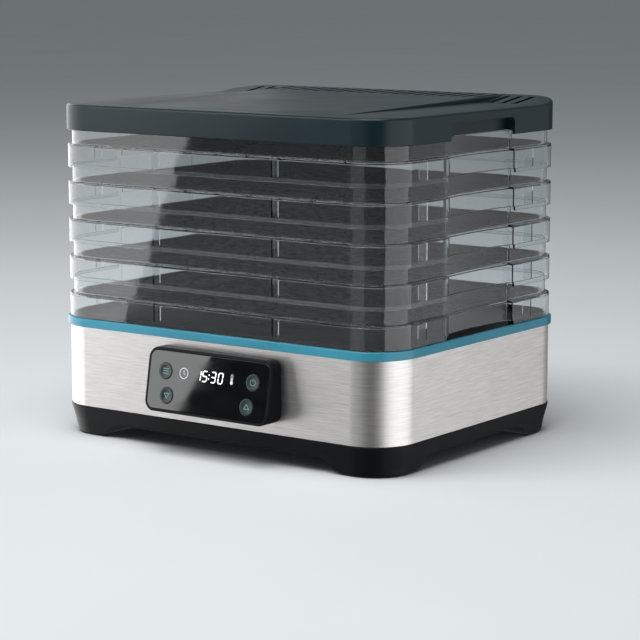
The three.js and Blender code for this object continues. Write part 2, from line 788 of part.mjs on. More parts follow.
function housingBody() {
  const outer = roundedRectangle(POD_WIDTH, POD_HEIGHT, POD_RADIUS);
  const reach = POD_LOW_DEPTH + 6;
  const geometry = new THREE.ExtrudeGeometry(outer, {
    depth: reach,
    bevelEnabled: false,
    curveSegments: 5,
  });
  geometry.rotateX(Math.PI / 2);
  const blank = solid(
    geometry.translate(POD_X, FRONT_FACE - GAP, POD_LOW + POD_HEIGHT / 2),
  );
  const pocketBack = BOARD_Z - GAP;
  const glassSeat = fromFace(facePlate(RIM, -GLASS_THICK - GAP, 5));
  const inside = fromFace(facePlate(RIM + 2.5, pocketBack, 5));
  const mouth = cut(cableHole(), aheadOf(pocketBack + 0.001));
  const pilots = podScrewHoles(PILOT_RADIUS, FRONT_FACE - 7, FRONT_FACE + 2);
  return cut(blank, aheadOf(0), glassSeat, inside, mouth, ...pilots);
}

add("pod_housing", housingBody(), "black");

// A short cylinder along the face frame's z.
function disc(x, y, z0, z1, radius, sides = 20) {
  const geometry = new THREE.CylinderGeometry(radius, radius, z1 - z0, sides);
  return geometry.rotateX(Math.PI / 2).translate(x, y, (z0 + z1) / 2);
}

const keyHoles = Object.values(KEYS).map(([x, y]) => {
  return solid(disc(x, y, -GLASS_THICK - 1, 1, KEY_RADIUS + 0.25));
});
add("pod_glass", cut(solid(facePlate(RIM + GAP, -GLASS_THICK, 0)), ...keyHoles), "glass", face);

// A key: a cap in the glass with a wider flange behind it that keeps it in.
function keyBody() {
  const cap = turned(
    [
      [0, -KEY_LENGTH],
      [2.4, -KEY_LENGTH],
      [2.4, -GLASS_THICK - 1.3],
      [KEY_RADIUS + 0.8, -GLASS_THICK - 1.3],
      [KEY_RADIUS + 0.8, -GLASS_THICK - GAP],
      [KEY_RADIUS, -GLASS_THICK - GAP],
      [KEY_RADIUS, KEY_PROUD],
      [0, KEY_PROUD - 0.2],
    ],
    20,
  );
  return geometryOf(cap);
}

for (const [name, [x, y]] of Object.entries(KEYS)) {
  add(name, keyBody(), "key", face).position.set(x, y, 0);
}

// The board behind the keys, and the lit display module on it, in the middle of the glass.
const board = new THREE.BoxGeometry(POD_WIDTH - 12, POD_SLOPE - 13, 1);
add("control_board", solid(board.translate(0, POD_SLOPE / 2, BOARD_Z + 0.5)), "board", face);
const display = new THREE.BoxGeometry(DISPLAY.width, DISPLAY.height, DISPLAY.thick);
display.translate(DISPLAY.x, DISPLAY.y, BOARD_Z + 1 + GAP + DISPLAY.thick / 2);
add("display_module", solid(display), "lit", face);

// ---------------------------------------------------------------- fan, heater and wiring

// A flat bar that carries the motor from two posts, with a hub plate in the middle.
function bracketBody() {
  const high = BRACKET_Z + BRACKET_THICK;
  const bar = box(-BRACKET_REACH - 7, -6, BRACKET_Z, BRACKET_REACH + 7, 6, high);
  const hub = drum(0, 0, BRACKET_Z, high, MOTOR_RADIUS + 4, 32);
  const holes = [-1, 1].map((side) => {
    return drum(side * BRACKET_REACH, 0, BRACKET_Z - 1, high + 1, CLEARANCE_RADIUS, 12);
  });
  return cut(join(bar, hub), drum(0, 0, BRACKET_Z - 1, high + 1, 6, 20), ...holes);
}

// The motor hangs under its bracket, with a blind bore for the shaft.
function motorBody() {
  const top = MOTOR_Z + MOTOR_HEIGHT;
  const bore = SHAFT_RADIUS + GAP;
  return turned([
    [0, MOTOR_Z],
    [MOTOR_RADIUS - 3, MOTOR_Z],
    [MOTOR_RADIUS, MOTOR_Z + 3],
    [MOTOR_RADIUS, top],
    [5.5, top],
    [5.5, top + BRACKET_THICK],
    [bore, top + BRACKET_THICK],
    [bore, MOTOR_Z + 4],
    [0, MOTOR_Z + 4],
  ], 24);
}

const SHAFT_TOP = FAN_Z + FAN_HEIGHT + 2;

// A bladed disc on a hub that grips the shaft.
function impellerBody() {
  const bore = SHAFT_RADIUS + GAP;
  const hub = turned([
    [bore, FAN_Z - 1],
    [11, FAN_Z - 1],
    [11, FAN_Z + FAN_HEIGHT],
    [bore, FAN_Z + FAN_HEIGHT],
    [bore, FAN_Z - 1],
  ], 16);
  const blades = [];
  for (let k = 0; k < BLADES; k++) {
    const blade = new THREE.BoxGeometry(FAN_RADIUS - 9, 22, 1.6);
    blade.rotateX(0.42).translate((FAN_RADIUS + 9) / 2, 0, FAN_Z + FAN_HEIGHT / 2 - 0.5);
    blades.push(solid(blade.rotateZ((k / BLADES) * 2 * Math.PI)));
  }
  return join(hub, ...blades);
}

// The round shroud that leads the air from the fan, past the heater, to the outlet.
function ductBody() {
  const low = FAN_Z - 4;
  const high = DECK_TOP - DECK_THICK - GAP;
  const tube = turned([
    [DUCT_RADIUS, low],
    [DUCT_RADIUS + 1.5, low],
    [DUCT_RADIUS + 1.5, high],
    [DUCT_RADIUS, high],
    [DUCT_RADIUS, low],
  ], 32);
  const ears = [-1, 1].map((side) => {
    const middle = side * (DUCT_RADIUS + 4.5);
    return box(-8, middle - 4, low, 8, middle + 4, low + 2);
  });
  return join(tube, ...ears);
}

// Two crossed mica strips, slotted together, that carry the heating coil on posts cut in their edge.
function heaterFrameBody() {
  const reach = DUCT_RADIUS - GAP;
  const low = HEATER_Z - 9;
  const strips = [0, 1].map((turn) => {
    const strip = new THREE.BoxGeometry(2 * reach, 1.6, 12).translate(0, 0, low + 6);
    return solid(strip.rotateZ((turn * Math.PI) / 2));
  });
  return cut(join(...strips), coilGroove());
}

function coilGroove() {
  return turned([
    [COIL_RADIUS - COIL_WIRE - GAP, HEATER_Z - COIL_WIRE - GAP],
    [COIL_RADIUS + COIL_WIRE + GAP, HEATER_Z - COIL_WIRE - GAP],
    [COIL_RADIUS + COIL_WIRE + GAP, HEATER_Z + 8],
    [COIL_RADIUS - COIL_WIRE - GAP, HEATER_Z + 8],
    [COIL_RADIUS - COIL_WIRE - GAP, HEATER_Z - COIL_WIRE - GAP],
  ], 28);
}

add("motor_bracket", bracketBody(), "plated");
add("fan_motor", motorBody(), "plated");
add("motor_shaft", drum(0, 0, MOTOR_Z + 4 + GAP, SHAFT_TOP, SHAFT_RADIUS, 16), "plated");
add("fan_impeller", impellerBody(), "black");
add("air_duct", ductBody(), "duct");
for (const side of [-1, 1]) {
  const name = `motor_screw_${side < 0 ? "left" : "right"}`;
  const screw = add(name, screwBody(SCREW_LENGTH, HEAD_RADIUS), "plated");
  screw.position.set(side * BRACKET_REACH, 0, BRACKET_Z + BRACKET_THICK + GAP);
  screw.rotation.x = Math.PI;
}
for (const side of [-1, 1]) {
  const name = `pod_screw_${side < 0 ? "left" : "right"}`;
  const screw = add(name, screwBody(SCREW_LENGTH, POD_HEAD_RADIUS), "plated");
  screw.position.set(POD_X + side * POD_SCREW, -DEPTH / 2 - TUB_IN + GAP, POD_SCREW_Z);
  screw.rotation.x = Math.PI / 2;
}

// The heater: crossed strips at 45 degrees in the duct, the coil in their grooves, and on top of three
// of their arms the cutout, the fuse and the temperature sensor.
const heater = new THREE.Group();
heater.rotation.z = Math.PI / 4;
machine.add(heater);
const ARM_TOP = HEATER_Z + 3 + GAP;
add("heater_frame", heaterFrameBody(), "mica", heater);
const coil = new THREE.TorusGeometry(COIL_RADIUS, COIL_WIRE, 6, 28);
add("heater_coil", coil, "wire", heater).position.z = HEATER_Z;
add("thermal_cutout", drum(20, 0, ARM_TOP, ARM_TOP + 7, 6, 12), "ceramic", heater);
add("thermal_fuse", box(-26, -2.5, ARM_TOP, -12, 2.5, ARM_TOP + 5), "ceramic", heater);
add("temperature_sensor", drum(0, 24, ARM_TOP, ARM_TOP + 12, 2.2, 8), "black", heater);

// The mains board on its four posts beside the duct.
const boardX = POWER_BOARD.x;
const boardFront = -POWER_BOARD.halfY;
const boardZ = FLOOR_TOP + BOARD_POST;
const mains = new THREE.BoxGeometry(2 * POWER_BOARD.halfX, 2 * POWER_BOARD.halfY, POWER_BOARD.thick);
mains.translate(boardX, 0, boardZ + POWER_BOARD.thick / 2);
add("power_board", solid(mains), "board");

// The cable from the control board, through steel and tub, down to the mains board.
const cableStart = new THREE.Vector3(0, 26, BOARD_Z - GAP).applyMatrix4(face.matrix);
const cableRoute = new THREE.CatmullRomCurve3([
  cableStart,
  new THREE.Vector3(POD_X, -DEPTH / 2 + 8, cableStart.z),
  new THREE.Vector3(POD_X + 30, -DEPTH / 2 + 22, 48),
  new THREE.Vector3(boardX - 25, -DEPTH / 2 + 28, 34),
  new THREE.Vector3(boardX - 8, boardFront + 2, 36),
  new THREE.Vector3(boardX - 8, boardFront + 12, boardZ + POWER_BOARD.thick + 3),
]);
const cableSection = new THREE.Shape().absarc(0, 0, 2, 0, 2 * Math.PI);
const cable = new THREE.ExtrudeGeometry(cableSection, {
  steps: 26,
  curveSegments: 4,
  extrudePath: cableRoute,
});
add("panel_cable", solid(cable), "cable");

export default machine;
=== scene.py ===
"""Food dehydrator: the visual model and its studio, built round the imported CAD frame.

Shapes are worked out in millimetres in the machine's own frame: X across, Y from front to back about the
machine's middle, Z up from the table. Pieces are stored in metres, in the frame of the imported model.
"""

import json
import math

import bpy
import numpy as np
from mathutils import Matrix, Vector


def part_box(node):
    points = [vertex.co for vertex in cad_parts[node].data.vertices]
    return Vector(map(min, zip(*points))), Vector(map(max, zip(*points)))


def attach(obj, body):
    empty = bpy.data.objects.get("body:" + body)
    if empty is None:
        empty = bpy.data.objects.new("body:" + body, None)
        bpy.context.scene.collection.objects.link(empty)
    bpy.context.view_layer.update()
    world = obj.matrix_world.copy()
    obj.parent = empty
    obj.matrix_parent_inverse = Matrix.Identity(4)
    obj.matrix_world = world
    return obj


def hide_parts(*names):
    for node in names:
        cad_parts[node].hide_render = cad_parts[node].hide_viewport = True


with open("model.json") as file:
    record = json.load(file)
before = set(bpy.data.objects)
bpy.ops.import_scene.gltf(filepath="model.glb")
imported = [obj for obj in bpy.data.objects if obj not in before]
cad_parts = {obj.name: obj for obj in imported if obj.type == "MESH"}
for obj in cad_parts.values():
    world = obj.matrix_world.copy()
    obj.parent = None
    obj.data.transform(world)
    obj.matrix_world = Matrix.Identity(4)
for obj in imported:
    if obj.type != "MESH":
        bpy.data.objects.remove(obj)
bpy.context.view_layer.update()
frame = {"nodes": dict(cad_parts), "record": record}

MM = 0.001


def box_mm(node):
    """Lowest and highest corner of a CAD node in millimetres."""
    low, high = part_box(node)
    return np.array(low) / MM, np.array(high) / MM


# ---------------------------------------------------------------- dimensions

# In millimetres. Names that end in OUT or IN are offsets from the outline, outward if positive.

lid_low, lid_high = box_mm("lid")
ring_low, ring_high = box_mm("accent_ring")
steel_low, steel_high = box_mm("steel_wrap")
mat_low, mat_high = box_mm("mesh_mat_1")
housing_low, housing_high = box_mm("pod_housing")

WIDTH = lid_high[0] - lid_low[0]
DEPTH = lid_high[1] - lid_low[1]
MIDDLE_Y = (lid_high[1] + lid_low[1]) / 2
CORNER = 36  # radius of the outline's corners
CORNER_STEPS = 20
WALL = 1.8  # tray wall
GAP = 0.3  # left between pieces that touch
PAST = 1  # how far a tool reaches past the face that it cuts, or a rib into the wall that it joins

TRAY_COUNT = 5
TRAY_Z = box_mm("tray_1")[0][2]
TRAY_PITCH = box_mm("tray_2")[0][2] - TRAY_Z
NEST = 3  # how far a neck reaches up inside the skirt above
SKIRT_TOP = 19.3  # height of a tray's skirt, and of the ledge and ribs that carry its mat
SKIRT_OUT = -0.8
NECK_OUT = -4.2
LEDGE_IN = -14
LEDGE_THICK = 1.8
TRAY_ROUND = 0.35  # radius of a tray's edges
RIB_PITCH = 31.2
RIB_WIDTH = 3
RIBS_EACH_SIDE = 4  # of the one in the middle
RIB_SUNK = 2  # how far a rib's ends reach into the ledge
STAND_WIDTH = 1.6  # ribs inside a skirt, on which it stands on the neck below
STAND_DEPTH = 8
STAND_INSET = 2  # of its outer edge from the outline
STAND_X = 60  # along the front and rear
STAND_Y = 78  # along the sides

RECESS_HALF = 47  # half the length of the finger recess in each side
RECESS_EDGE = 4.2  # its depth at its ends
RECESS_MID = 7
RECESS_NECK = 0.4  # how far the neck stands behind the skirt's face in it
# Where three of its steps start, before its end, and how far along the side each one takes.
LOWER_EDGE_STEP = (3.4, 0.6)
INNER_FACE_STEP = (2.7, 0.7)
OUTER_FACE_STEP = (0.4, 1.2)

LID_Z = lid_low[2]
RISE = 5  # how much higher the lid is along its rear edge
LID_TOP = lid_high[2] - RISE
LID_THICK = 3
LID_BEVEL = 2.5
LID_WALL = 2.6
PLATFORM_HALF = 111.5
PLATFORM_START = 22  # from the front of the lid to the front of the platform
PLATFORM_FRONT_RISE = 0.1
PLATFORM_CHAMFER = 1.1  # its height, where the platform is high enough for it
CHAMFER_SLOPE = 1.3  # its width over its height
SLOPE_FOOT = 94  # where the rest of the top starts to rise to the rear
POCKET_HIGH = 14  # the finger recess in each side of the lid
POCKET_DEEP = 8
POCKET_ROUND = 5
POCKET_BACK = 12  # how far in the wall behind it reaches
VENT_PITCH = 11.8
VENT_WIDTH = 4.6
VENT_FRONT = 86
VENT_BACK = 9
VENT_MARGIN = 22  # left free of vents at each end of their row

FOOT_Z = box_mm("bottom_chassis")[0][2]
FLOOR_Z = 12  # underside of the chassis floor
FLOOR_THICK = 3
FLOOR_TOP = FLOOR_Z + FLOOR_THICK
FOOT_LENGTH = 48  # along each side from the corner
ARCH_BLEND = 18  # length of the curve from a foot up into the arch
ARCH_PULL = 7
FLANGE_Z = 25
TUB_OUT = -2.3
TUB_IN = -5
STEEL_OUT = -0.85
STEEL_THICK = 1
RING_OUT = ring_high[0] - lid_high[0]
RING_IN = -2.6
PAD_X = 143
PAD_Y = 105.5
PAD_HOLLOW = 11.3  # radius of the hollow for a foot pad
PAD_TOP = 3.5
SCREW_X = 95
SCREW_Y = 60
SCREW_HOLE = 2.1  # its radius
GRILLE_RADIUS = 58
GRILLE_PITCH = 12
GRILLE_SLOT = 6
GRILLE_ROUND = 2.9
GRILLE_RIB = 3  # half the width of the rib that parts the slots
GRILLE_ROWS = 4  # each side of the middle one
POST_SUNK = 2  # how far a post reaches into the floor
# The motor bracket's posts and the duct's, as distance from the middle, top and radius.
MOTOR_POST = (76, 39, 5)
DUCT_POST = (71, 41.7, 4)
BOARD_POST_X = (112, 148)
BOARD_POST_Y = 44
BOARD_POST_TOP = 20.7
BOARD_POST_RADIUS = 3

POD_X = (housing_low[0] + housing_high[0]) / 2
POD_WIDTH = housing_high[0] - housing_low[0]
POD_LOW = housing_low[2]
POD_HEIGHT = housing_high[2] - POD_LOW
POD_RADIUS = 9
POD_RIM = 2.2
FRONT_FACE = -DEPTH / 2 - STEEL_OUT
POD_LOW_DEPTH = FRONT_FACE - (housing_low[1] - MIDDLE_Y)
POD_TOP_DEPTH = 10.3
POD_TILT = math.atan2(POD_LOW_DEPTH - POD_TOP_DEPTH, POD_HEIGHT)
POD_SLOPE = math.hypot(POD_LOW_DEPTH - POD_TOP_DEPTH, POD_HEIGHT)
POD_EDGE = 0.9  # radius of the housing's front edge
RIM_DROP = 0.25  # chamfer along the rim's inner edge
RIM_LIP = 2.5  # width of the ledge behind the glass
RIM_DEPTH = 2.4  # from the rim down to that ledge
GLASS_THICK = 2
KEY_RADIUS = 6.5
KEY_PROUD = 0.3
KEY_SLIT = 0.25  # between a key and the glass
# Places on the face: x across from its middle, y up it.
KEYS = {"menu": (-43.2, 33.3), "down": (-40, 13.9), "power": (44.6, 33.3), "up": (40.6, 13.7)}

# ---------------------------------------------------------------- mesh helpers


def to_frame(points):
    """Points in the machine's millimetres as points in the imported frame's metres."""
    return (np.asarray(points, float) + (0, MIDDLE_Y, 0)) * MM


def make_mesh(name, points, faces, uv=None):
    mesh = bpy.data.meshes.new(name)
    mesh.from_pydata(to_frame(points).tolist(), [], [list(map(int, f)) for f in faces])
    if uv is not None:
        layer = mesh.uv_layers.new(name="UVMap")
        layer.data.foreach_set("uv", np.asarray(uv, np.float32).ravel())
    mesh.validate()
    mesh.update()
    return mesh


def make_object(name, mesh):
    made = bpy.data.objects.new(name, mesh)
    bpy.context.scene.collection.objects.link(made)
    return made


def solid(points, faces, name="tool", uv=None):
    return make_object(name, make_mesh(name, points, faces, uv))


def grid_faces(rows, columns, close_rows=True, close_columns=True, flip=False):
    """Four-sided faces over points that lie row by row. Closed rows or columns join the last to the first."""
    faces = []
    for i in range(rows if close_rows else rows - 1):
        this, following = i * columns, (i + 1) % rows * columns
        for j in range(columns if close_columns else columns - 1):
            k = (j + 1) % columns
            face = (this + j, following + j, following + k, this + k)
            faces.append((face[0], face[3], face[2], face[1]) if flip else face)
    return faces


def boolean(target, tool, operation):
    """Joins or cuts target with tool, which is used up."""
    modifier = target.modifiers.new("boolean", "BOOLEAN")
    modifier.object = tool
    modifier.operation = operation
    modifier.solver = "EXACT"
    depsgraph = bpy.context.evaluated_depsgraph_get()
    result = bpy.data.meshes.new_from_object(target.evaluated_get(depsgraph))
    target.modifiers.clear()
    target.data = result
    bpy.data.objects.remove(tool)


def merged(shapes):
    """Several (points, faces) as one."""
    points, faces, count = [], [], 0
    for shape_points, shape_faces in shapes:
        points.append(np.asarray(shape_points, float))
        faces += [[i + count for i in face] for face in shape_faces]
        count += len(shape_points)
    return np.concatenate(points), faces


def weight_normals(made):
    """Lets a piece's large faces decide its shading."""
    modifier = made.modifiers.new("normals", "WEIGHTED_NORMAL")
    modifier.keep_sharp = True


def smooth(made, angle=35, bevel=0):
    """Shades smooth across soft edges. bevel rounds the sharp ones, in millimetres."""
    mesh = made.data
    if bevel:
        modifier = made.modifiers.new("edges", "BEVEL")
        modifier.width = bevel * MM
        modifier.segments = 2
        modifier.limit_method = "ANGLE"
        modifier.angle_limit = math.radians(angle)
        modifier.use_clamp_overlap = True
        modifier.harden_normals = True
        modifier.miter_outer = "MITER_ARC"
    mesh.polygons.foreach_set("use_smooth", [True] * len(mesh.polygons))
    mesh.set_sharp_from_angle(angle=math.radians(angle))
    if not bevel:
        weight_normals(made)


def finished(made, body, slot, *nodes, material=None):
    """Gives a piece its body and the look of its slot, and hides the CAD nodes that it stands for."""
    made.data.materials.clear()
    made.data.materials.append(material or LOOKS[slot])
    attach(made, body)
    if nodes:
        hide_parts(*nodes)


def box(x0, y0, z0, x1, y1, z1):
    points = [(x, y, z) for z in (z0, z1) for y in (y0, y1) for x in (x0, x1)]
    faces = [(0, 2, 3, 1), (4, 5, 7, 6), (0, 1, 5, 4), (2, 6, 7, 3), (0, 4, 6, 2), (1, 3, 7, 5)]
    return points, faces


def prism(shape, z0, z1):
    """An outline of (x, y) points, anticlockwise, between two heights."""
    count = len(shape)
    points = [(x, y, z0) for x, y in shape] + [(x, y, z1) for x, y in shape]
    ends = [list(range(count))[::-1], list(range(count, 2 * count))]
    return points, ends + grid_faces(2, count, close_rows=False, flip=True)


def arc(x, y, radius, start, turn, steps):
    """Points along a circle from an angle, over a turn, both in half turns."""
    angles = [math.pi * (start + turn * k / steps) for k in range(steps + 1)]
    return [(x + radius * math.cos(a), y + radius * math.sin(a)) for a in angles]


def circle(x, y, radius, sides):
    return arc(x, y, radius, 0, 2, sides)[:-1]


def drum(x, y, z0, z1, radius, sides):
    return prism(circle(x, y, radius, sides), z0, z1)


def along(shape, axes):
    """A shape with its x, y and z (0, 1, 2) put in another order: axes says which go to X, Y and Z."""
    points, faces = shape
    moved = np.asarray(points, float)[:, axes]
    turns = np.linalg.det(np.eye(3)[list(axes)])
    return moved, [f[::-1] for f in faces] if turns < 0 else faces


def rounded_rectangle(width, height, radius, steps):
    points = []
    for sx, sy, start in [(1, -1, -0.5), (1, 1, 0), (-1, 1, 0.5), (-1, -1, 1)]:
        points += arc(sx * (width / 2 - radius), sy * (height / 2 - radius), radius, start, 0.5, steps)
    return points


# ---------------------------------------------------------------- shells carried round the outline


def ease(x):
    x = np.clip(x, 0, 1)
    return x * x * (3 - 2 * x)


def recess_depth(y):
    return RECESS_EDGE + (RECESS_MID - RECESS_EDGE) * (1 - (y / RECESS_HALF) ** 2)


def outline(recessed=False):
    """Stations round the machine, anticlockwise from above, as x, y, outward direction and three shares.

    The shares say how far the finger recess has set in there, from 0 to 1, for the skirt's lower edge, its
    inner face and its outer face.
    """
    rows = []
    recess_steps = (LOWER_EDGE_STEP, INNER_FACE_STEP, OUTER_FACE_STEP)

    def corner(sx, sy, start):
        for nx, ny in arc(0, 0, 1, start, 0.5, CORNER_STEPS):
            x = sx * (WIDTH / 2 - CORNER) + nx * CORNER
            rows.append((x, sy * (DEPTH / 2 - CORNER) + ny * CORNER, nx, ny, 0, 0, 0))

    def side(sx):
        if not recessed:
            return
        end = RECESS_HALF
        stretches = [np.linspace(-end + 3, end - 3, 25)]
        for (before, length), count in zip(recess_steps, (5, 5, 9)):
            stretches.append(np.linspace(-end - before, -end - before + length, count))
        places = np.concatenate(stretches)
        for y in np.unique(np.concatenate([places, -places])):
            shares = [ease((end - abs(y) + before) / length) for before, length in recess_steps]
            rows.append((sx * WIDTH / 2, sx * y, sx, 0, *shares))

    corner(1, -1, -0.5)
    side(1)
    corner(1, 1, 0)
    corner(-1, 1, 0.5)
    side(-1)
    corner(-1, -1, 1)
    return np.array(rows, float)


PLAIN = outline()
RECESSED = outline(True)


def filleted(section, radius, steps):
    """A closed section of (offset, z) points with each corner rounded by the same number of points."""
    section = np.asarray(section, float)
    made = []
    for i, p in enumerate(section):
        a, b = section[i - 1] - p, section[(i + 1) % len(section)] - p
        la, lb = np.linalg.norm(a), np.linalg.norm(b)
        if min(la, lb) < 1e-6:
            made += [p] * (steps + 1)
            continue
        reach = min(radius, 0.45 * la, 0.45 * lb)
        start, end = p + a / la * reach, p + b / lb * reach
        for k in range(steps + 1):
            t = k / steps
            made.append((1 - t) ** 2 * start + 2 * t * (1 - t) * p + t * t * end)
    return np.array(made)


def ring(stations, section_at, radius, steps=3):
    """A closed section carried round the stations: points, faces, and a UV map in metres along and across."""
    sections = np.array([filleted(section_at(s), radius, steps) for s in stations])
    rows, count = sections.shape[:2]
    points = np.empty((rows, count, 3))
    points[:, :, 0] = stations[:, None, 0] + stations[:, None, 2] * sections[:, :, 0]
    points[:, :, 1] = stations[:, None, 1] + stations[:, None, 3] * sections[:, :, 0]
    points[:, :, 2] = sections[:, :, 1]
    step = np.linalg.norm(np.roll(stations[:, :2], -1, 0) - stations[:, :2], axis=1)
    u = np.concatenate([[0], np.cumsum(step)]) * MM
    across = np.linalg.norm(np.roll(sections[0], -1, 0) - sections[0], axis=1)
    v = np.concatenate([[0], np.cumsum(across)]) * MM
    uv = []
    for i in range(rows):
        for j in range(count):
            uv += [(u[i], v[j]), (u[i + 1], v[j]), (u[i + 1], v[j + 1]), (u[i], v[j + 1])]
    return points.reshape(-1, 3), grid_faces(rows, count), uv


def block(levels, stations=PLAIN):
    """A solid whose side passes through the (offset, z) levels, closed flat at both ends."""
    levels = np.asarray(levels, float)
    count, rows = len(levels), len(stations)
    points = np.empty((rows, count, 3))
    points[:, :, :2] = stations[:, None, :2] + stations[:, None, 2:4] * levels[None, :, :1]
    points[:, :, 2] = levels[None, :, 1]
    faces = grid_faces(rows, count, close_columns=False)
    faces.append([i * count for i in range(rows)][::-1])
    faces.append([i * count + count - 1 for i in range(rows)])
    return points.reshape(-1, 3), faces


# ---------------------------------------------------------------- materials

NOISE_LOW, NOISE_HIGH = 0.3, 0.7  # between which nearly all of a noise lies


class Look:
    """A procedural material under construction: one Principled shader and what feeds it."""

    def __init__(self, name, colour, roughness, metallic=0.0, **sockets):
        self.material = bpy.data.materials.new(name)
        self.material.use_nodes = True
        self.tree = self.material.node_tree
        self.shader = self.tree.nodes["Principled BSDF"]
        self.shader.inputs["Base Color"].default_value = (*colour, 1)
        self.shader.inputs["Roughness"].default_value = roughness
        self.shader.inputs["Metallic"].default_value = metallic
        for socket, value in sockets.items():
            self.shader.inputs[socket.replace("_", " ")].default_value = value

    def node(self, kind, **values):
        """A new node. Each value goes to the socket of that name, _ for a space, or else to the setting."""
        made = self.tree.nodes.new(kind)
        for name, value in values.items():
            socket = name.replace("_", " ")
            if socket in made.inputs:
                made.inputs[socket].default_value = value
            else:
                setattr(made, name, value)
        return made

    def link(self, source, target):
        self.tree.links.new(source, target)

    def place(self, scale, uv=False):
        """Coordinates in metres times a scale for each axis: the piece's own, or its UV map."""
        if uv:
            source = self.node("ShaderNodeUVMap", uv_map="UVMap").outputs["UV"]
        else:
            source = self.node("ShaderNodeTexCoord").outputs["Object"]
        mapping = self.node("ShaderNodeMapping", Scale=scale)
        self.link(source, mapping.inputs["Vector"])
        return mapping.outputs["Vector"]

    def noise(self, scale, detail=3, uv=False, rough=0.5):
        made = self.node("ShaderNodeTexNoise", Scale=1.0, Detail=detail, Roughness=rough)
        self.link(self.place(scale, uv), made.inputs["Vector"])
        return made.outputs["Fac"]

    def span(self, source, low, high):
        """A noise stretched to run from low to high."""
        noise = {"From_Min": NOISE_LOW, "From_Max": NOISE_HIGH}
        made = self.node("ShaderNodeMapRange", To_Min=low, To_Max=high, **noise)
        self.link(source, made.inputs["Value"])
        return made.outputs["Result"]

    def roughness(self, source, low, high):
        self.link(self.span(source, low, high), self.shader.inputs["Roughness"])

    def colours(self, source, dark, light, start=NOISE_LOW, end=NOISE_HIGH):
        ramp = self.node("ShaderNodeValToRGB")
        ramp.color_ramp.elements[0].position = start
        ramp.color_ramp.elements[0].color = (*dark, 1)
        ramp.color_ramp.elements[1].position = end
        ramp.color_ramp.elements[1].color = (*light, 1)
        self.link(source, ramp.inputs["Fac"])
        self.link(ramp.outputs["Color"], self.shader.inputs["Base Color"])

    def bump(self, source, depth, strength=1.0):
        """Raises the surface by the source, depth in metres."""
        made = self.node("ShaderNodeBump", Distance=depth, Strength=strength)
        self.link(source, made.inputs["Height"])
        self.link(made.outputs["Normal"], self.shader.inputs["Normal"])


def shade(colour, factor):
    return tuple(c * factor for c in colour)


def moulded(name, colour, roughness, grain=900, depth=0.00002, vary=0.12, **sockets):
    """Moulded plastic: a fine spark-eroded grain, with slow drifts in gloss and colour."""
    spread = 0.06
    look = Look(name, colour, roughness, **sockets)
    slow = look.noise((14, 14, 14), detail=4)
    look.roughness(slow, roughness - spread, roughness + spread)
    look.colours(slow, shade(colour, 1 - vary), shade(colour, 1 + vary))
    look.bump(look.noise((grain, grain, grain), detail=2), depth, 0.35)
    return look.material


def brushed_steel():
    """Stainless sheet with a fine grain that runs round the machine, along the UV map's u."""
    look = Look("brushed_steel", (0.62, 0.61, 0.6), 0.3, 1.0, Anisotropic=0.6)
    fine = look.noise((70, 2600, 1), detail=3, uv=True, rough=0.6)
    broad = look.noise((30, 1100, 1), detail=3, uv=True)
    both = look.node("ShaderNodeMath", operation="ADD")
    look.link(fine, both.inputs[0])
    look.link(broad, both.inputs[1])
    half = look.node("ShaderNodeMath", operation="MULTIPLY")
    half.inputs[1].default_value = 0.5
    look.link(both.outputs[0], half.inputs[0])
    grain = half.outputs[0]
    look.colours(grain, (0.52, 0.515, 0.505), (0.72, 0.715, 0.705), 0.36, 0.64)
    look.roughness(grain, 0.32, 0.42)
    look.bump(grain, 0.00002, 0.5)
    tangent = look.node("ShaderNodeTangent", direction_type="UV_MAP", uv_map="UVMap")
    look.link(tangent.outputs["Tangent"], look.shader.inputs["Tangent"])
    return look.material


def clear_plastic():
    """Clear polystyrene moulding: polished, with the faint waves that flow lines leave."""
    look = Look("clear_plastic", (0.88, 0.915, 0.93), 0.03, IOR=1.59, Transmission_Weight=1.0)
    look.bump(look.noise((38, 38, 16), detail=2), 0.00035, 0.12)
    return look.material


def net_plastic():
    """Black polypropylene net: strands with hardly any shine."""
    look = Look("net_plastic", (0.006, 0.0065, 0.007), 0.3, Specular_IOR_Level=0.02)
    patch = look.noise((160, 160, 160), detail=3)
    look.roughness(patch, 0.18, 0.42)
    look.colours(patch, (0.004, 0.0045, 0.005), (0.009, 0.01, 0.011))
    look.bump(look.noise((900, 900, 900), detail=2), 0.00006, 0.6)
    return look.material


def black_glass():
    """High-gloss black window with the last trace of a wiping cloth."""
    look = Look("black_glass", (0.004, 0.005, 0.006), 0.03, IOR=1.75)
    smear = look.noise((30, 30, 90), detail=5)
    look.roughness(smear, 0.015, 0.05)
    look.colours(smear, (0.003, 0.004, 0.005), (0.006, 0.007, 0.008))
    return look.material


def lit(name, colour, strength):
    """A lit mark of the display."""
    look = Look(name, colour, 0.4, Emission_Color=(*colour, 1), Emission_Strength=strength)
    look.colours(look.noise((500, 500, 500)), shade(colour, 0.9), colour)
    return look.material


def plated(name, colour, roughness, scale=120):
    """Zinc plate or bare sheet: metal with cloudy patches."""
    look = Look(name, colour, roughness, 1.0)
    cloud = look.noise((scale, scale, scale), detail=5, rough=0.6)
    look.roughness(cloud, roughness - 0.1, roughness + 0.12)
    look.colours(cloud, shade(colour, 0.78), shade(colour, 1.12))
    return look.material


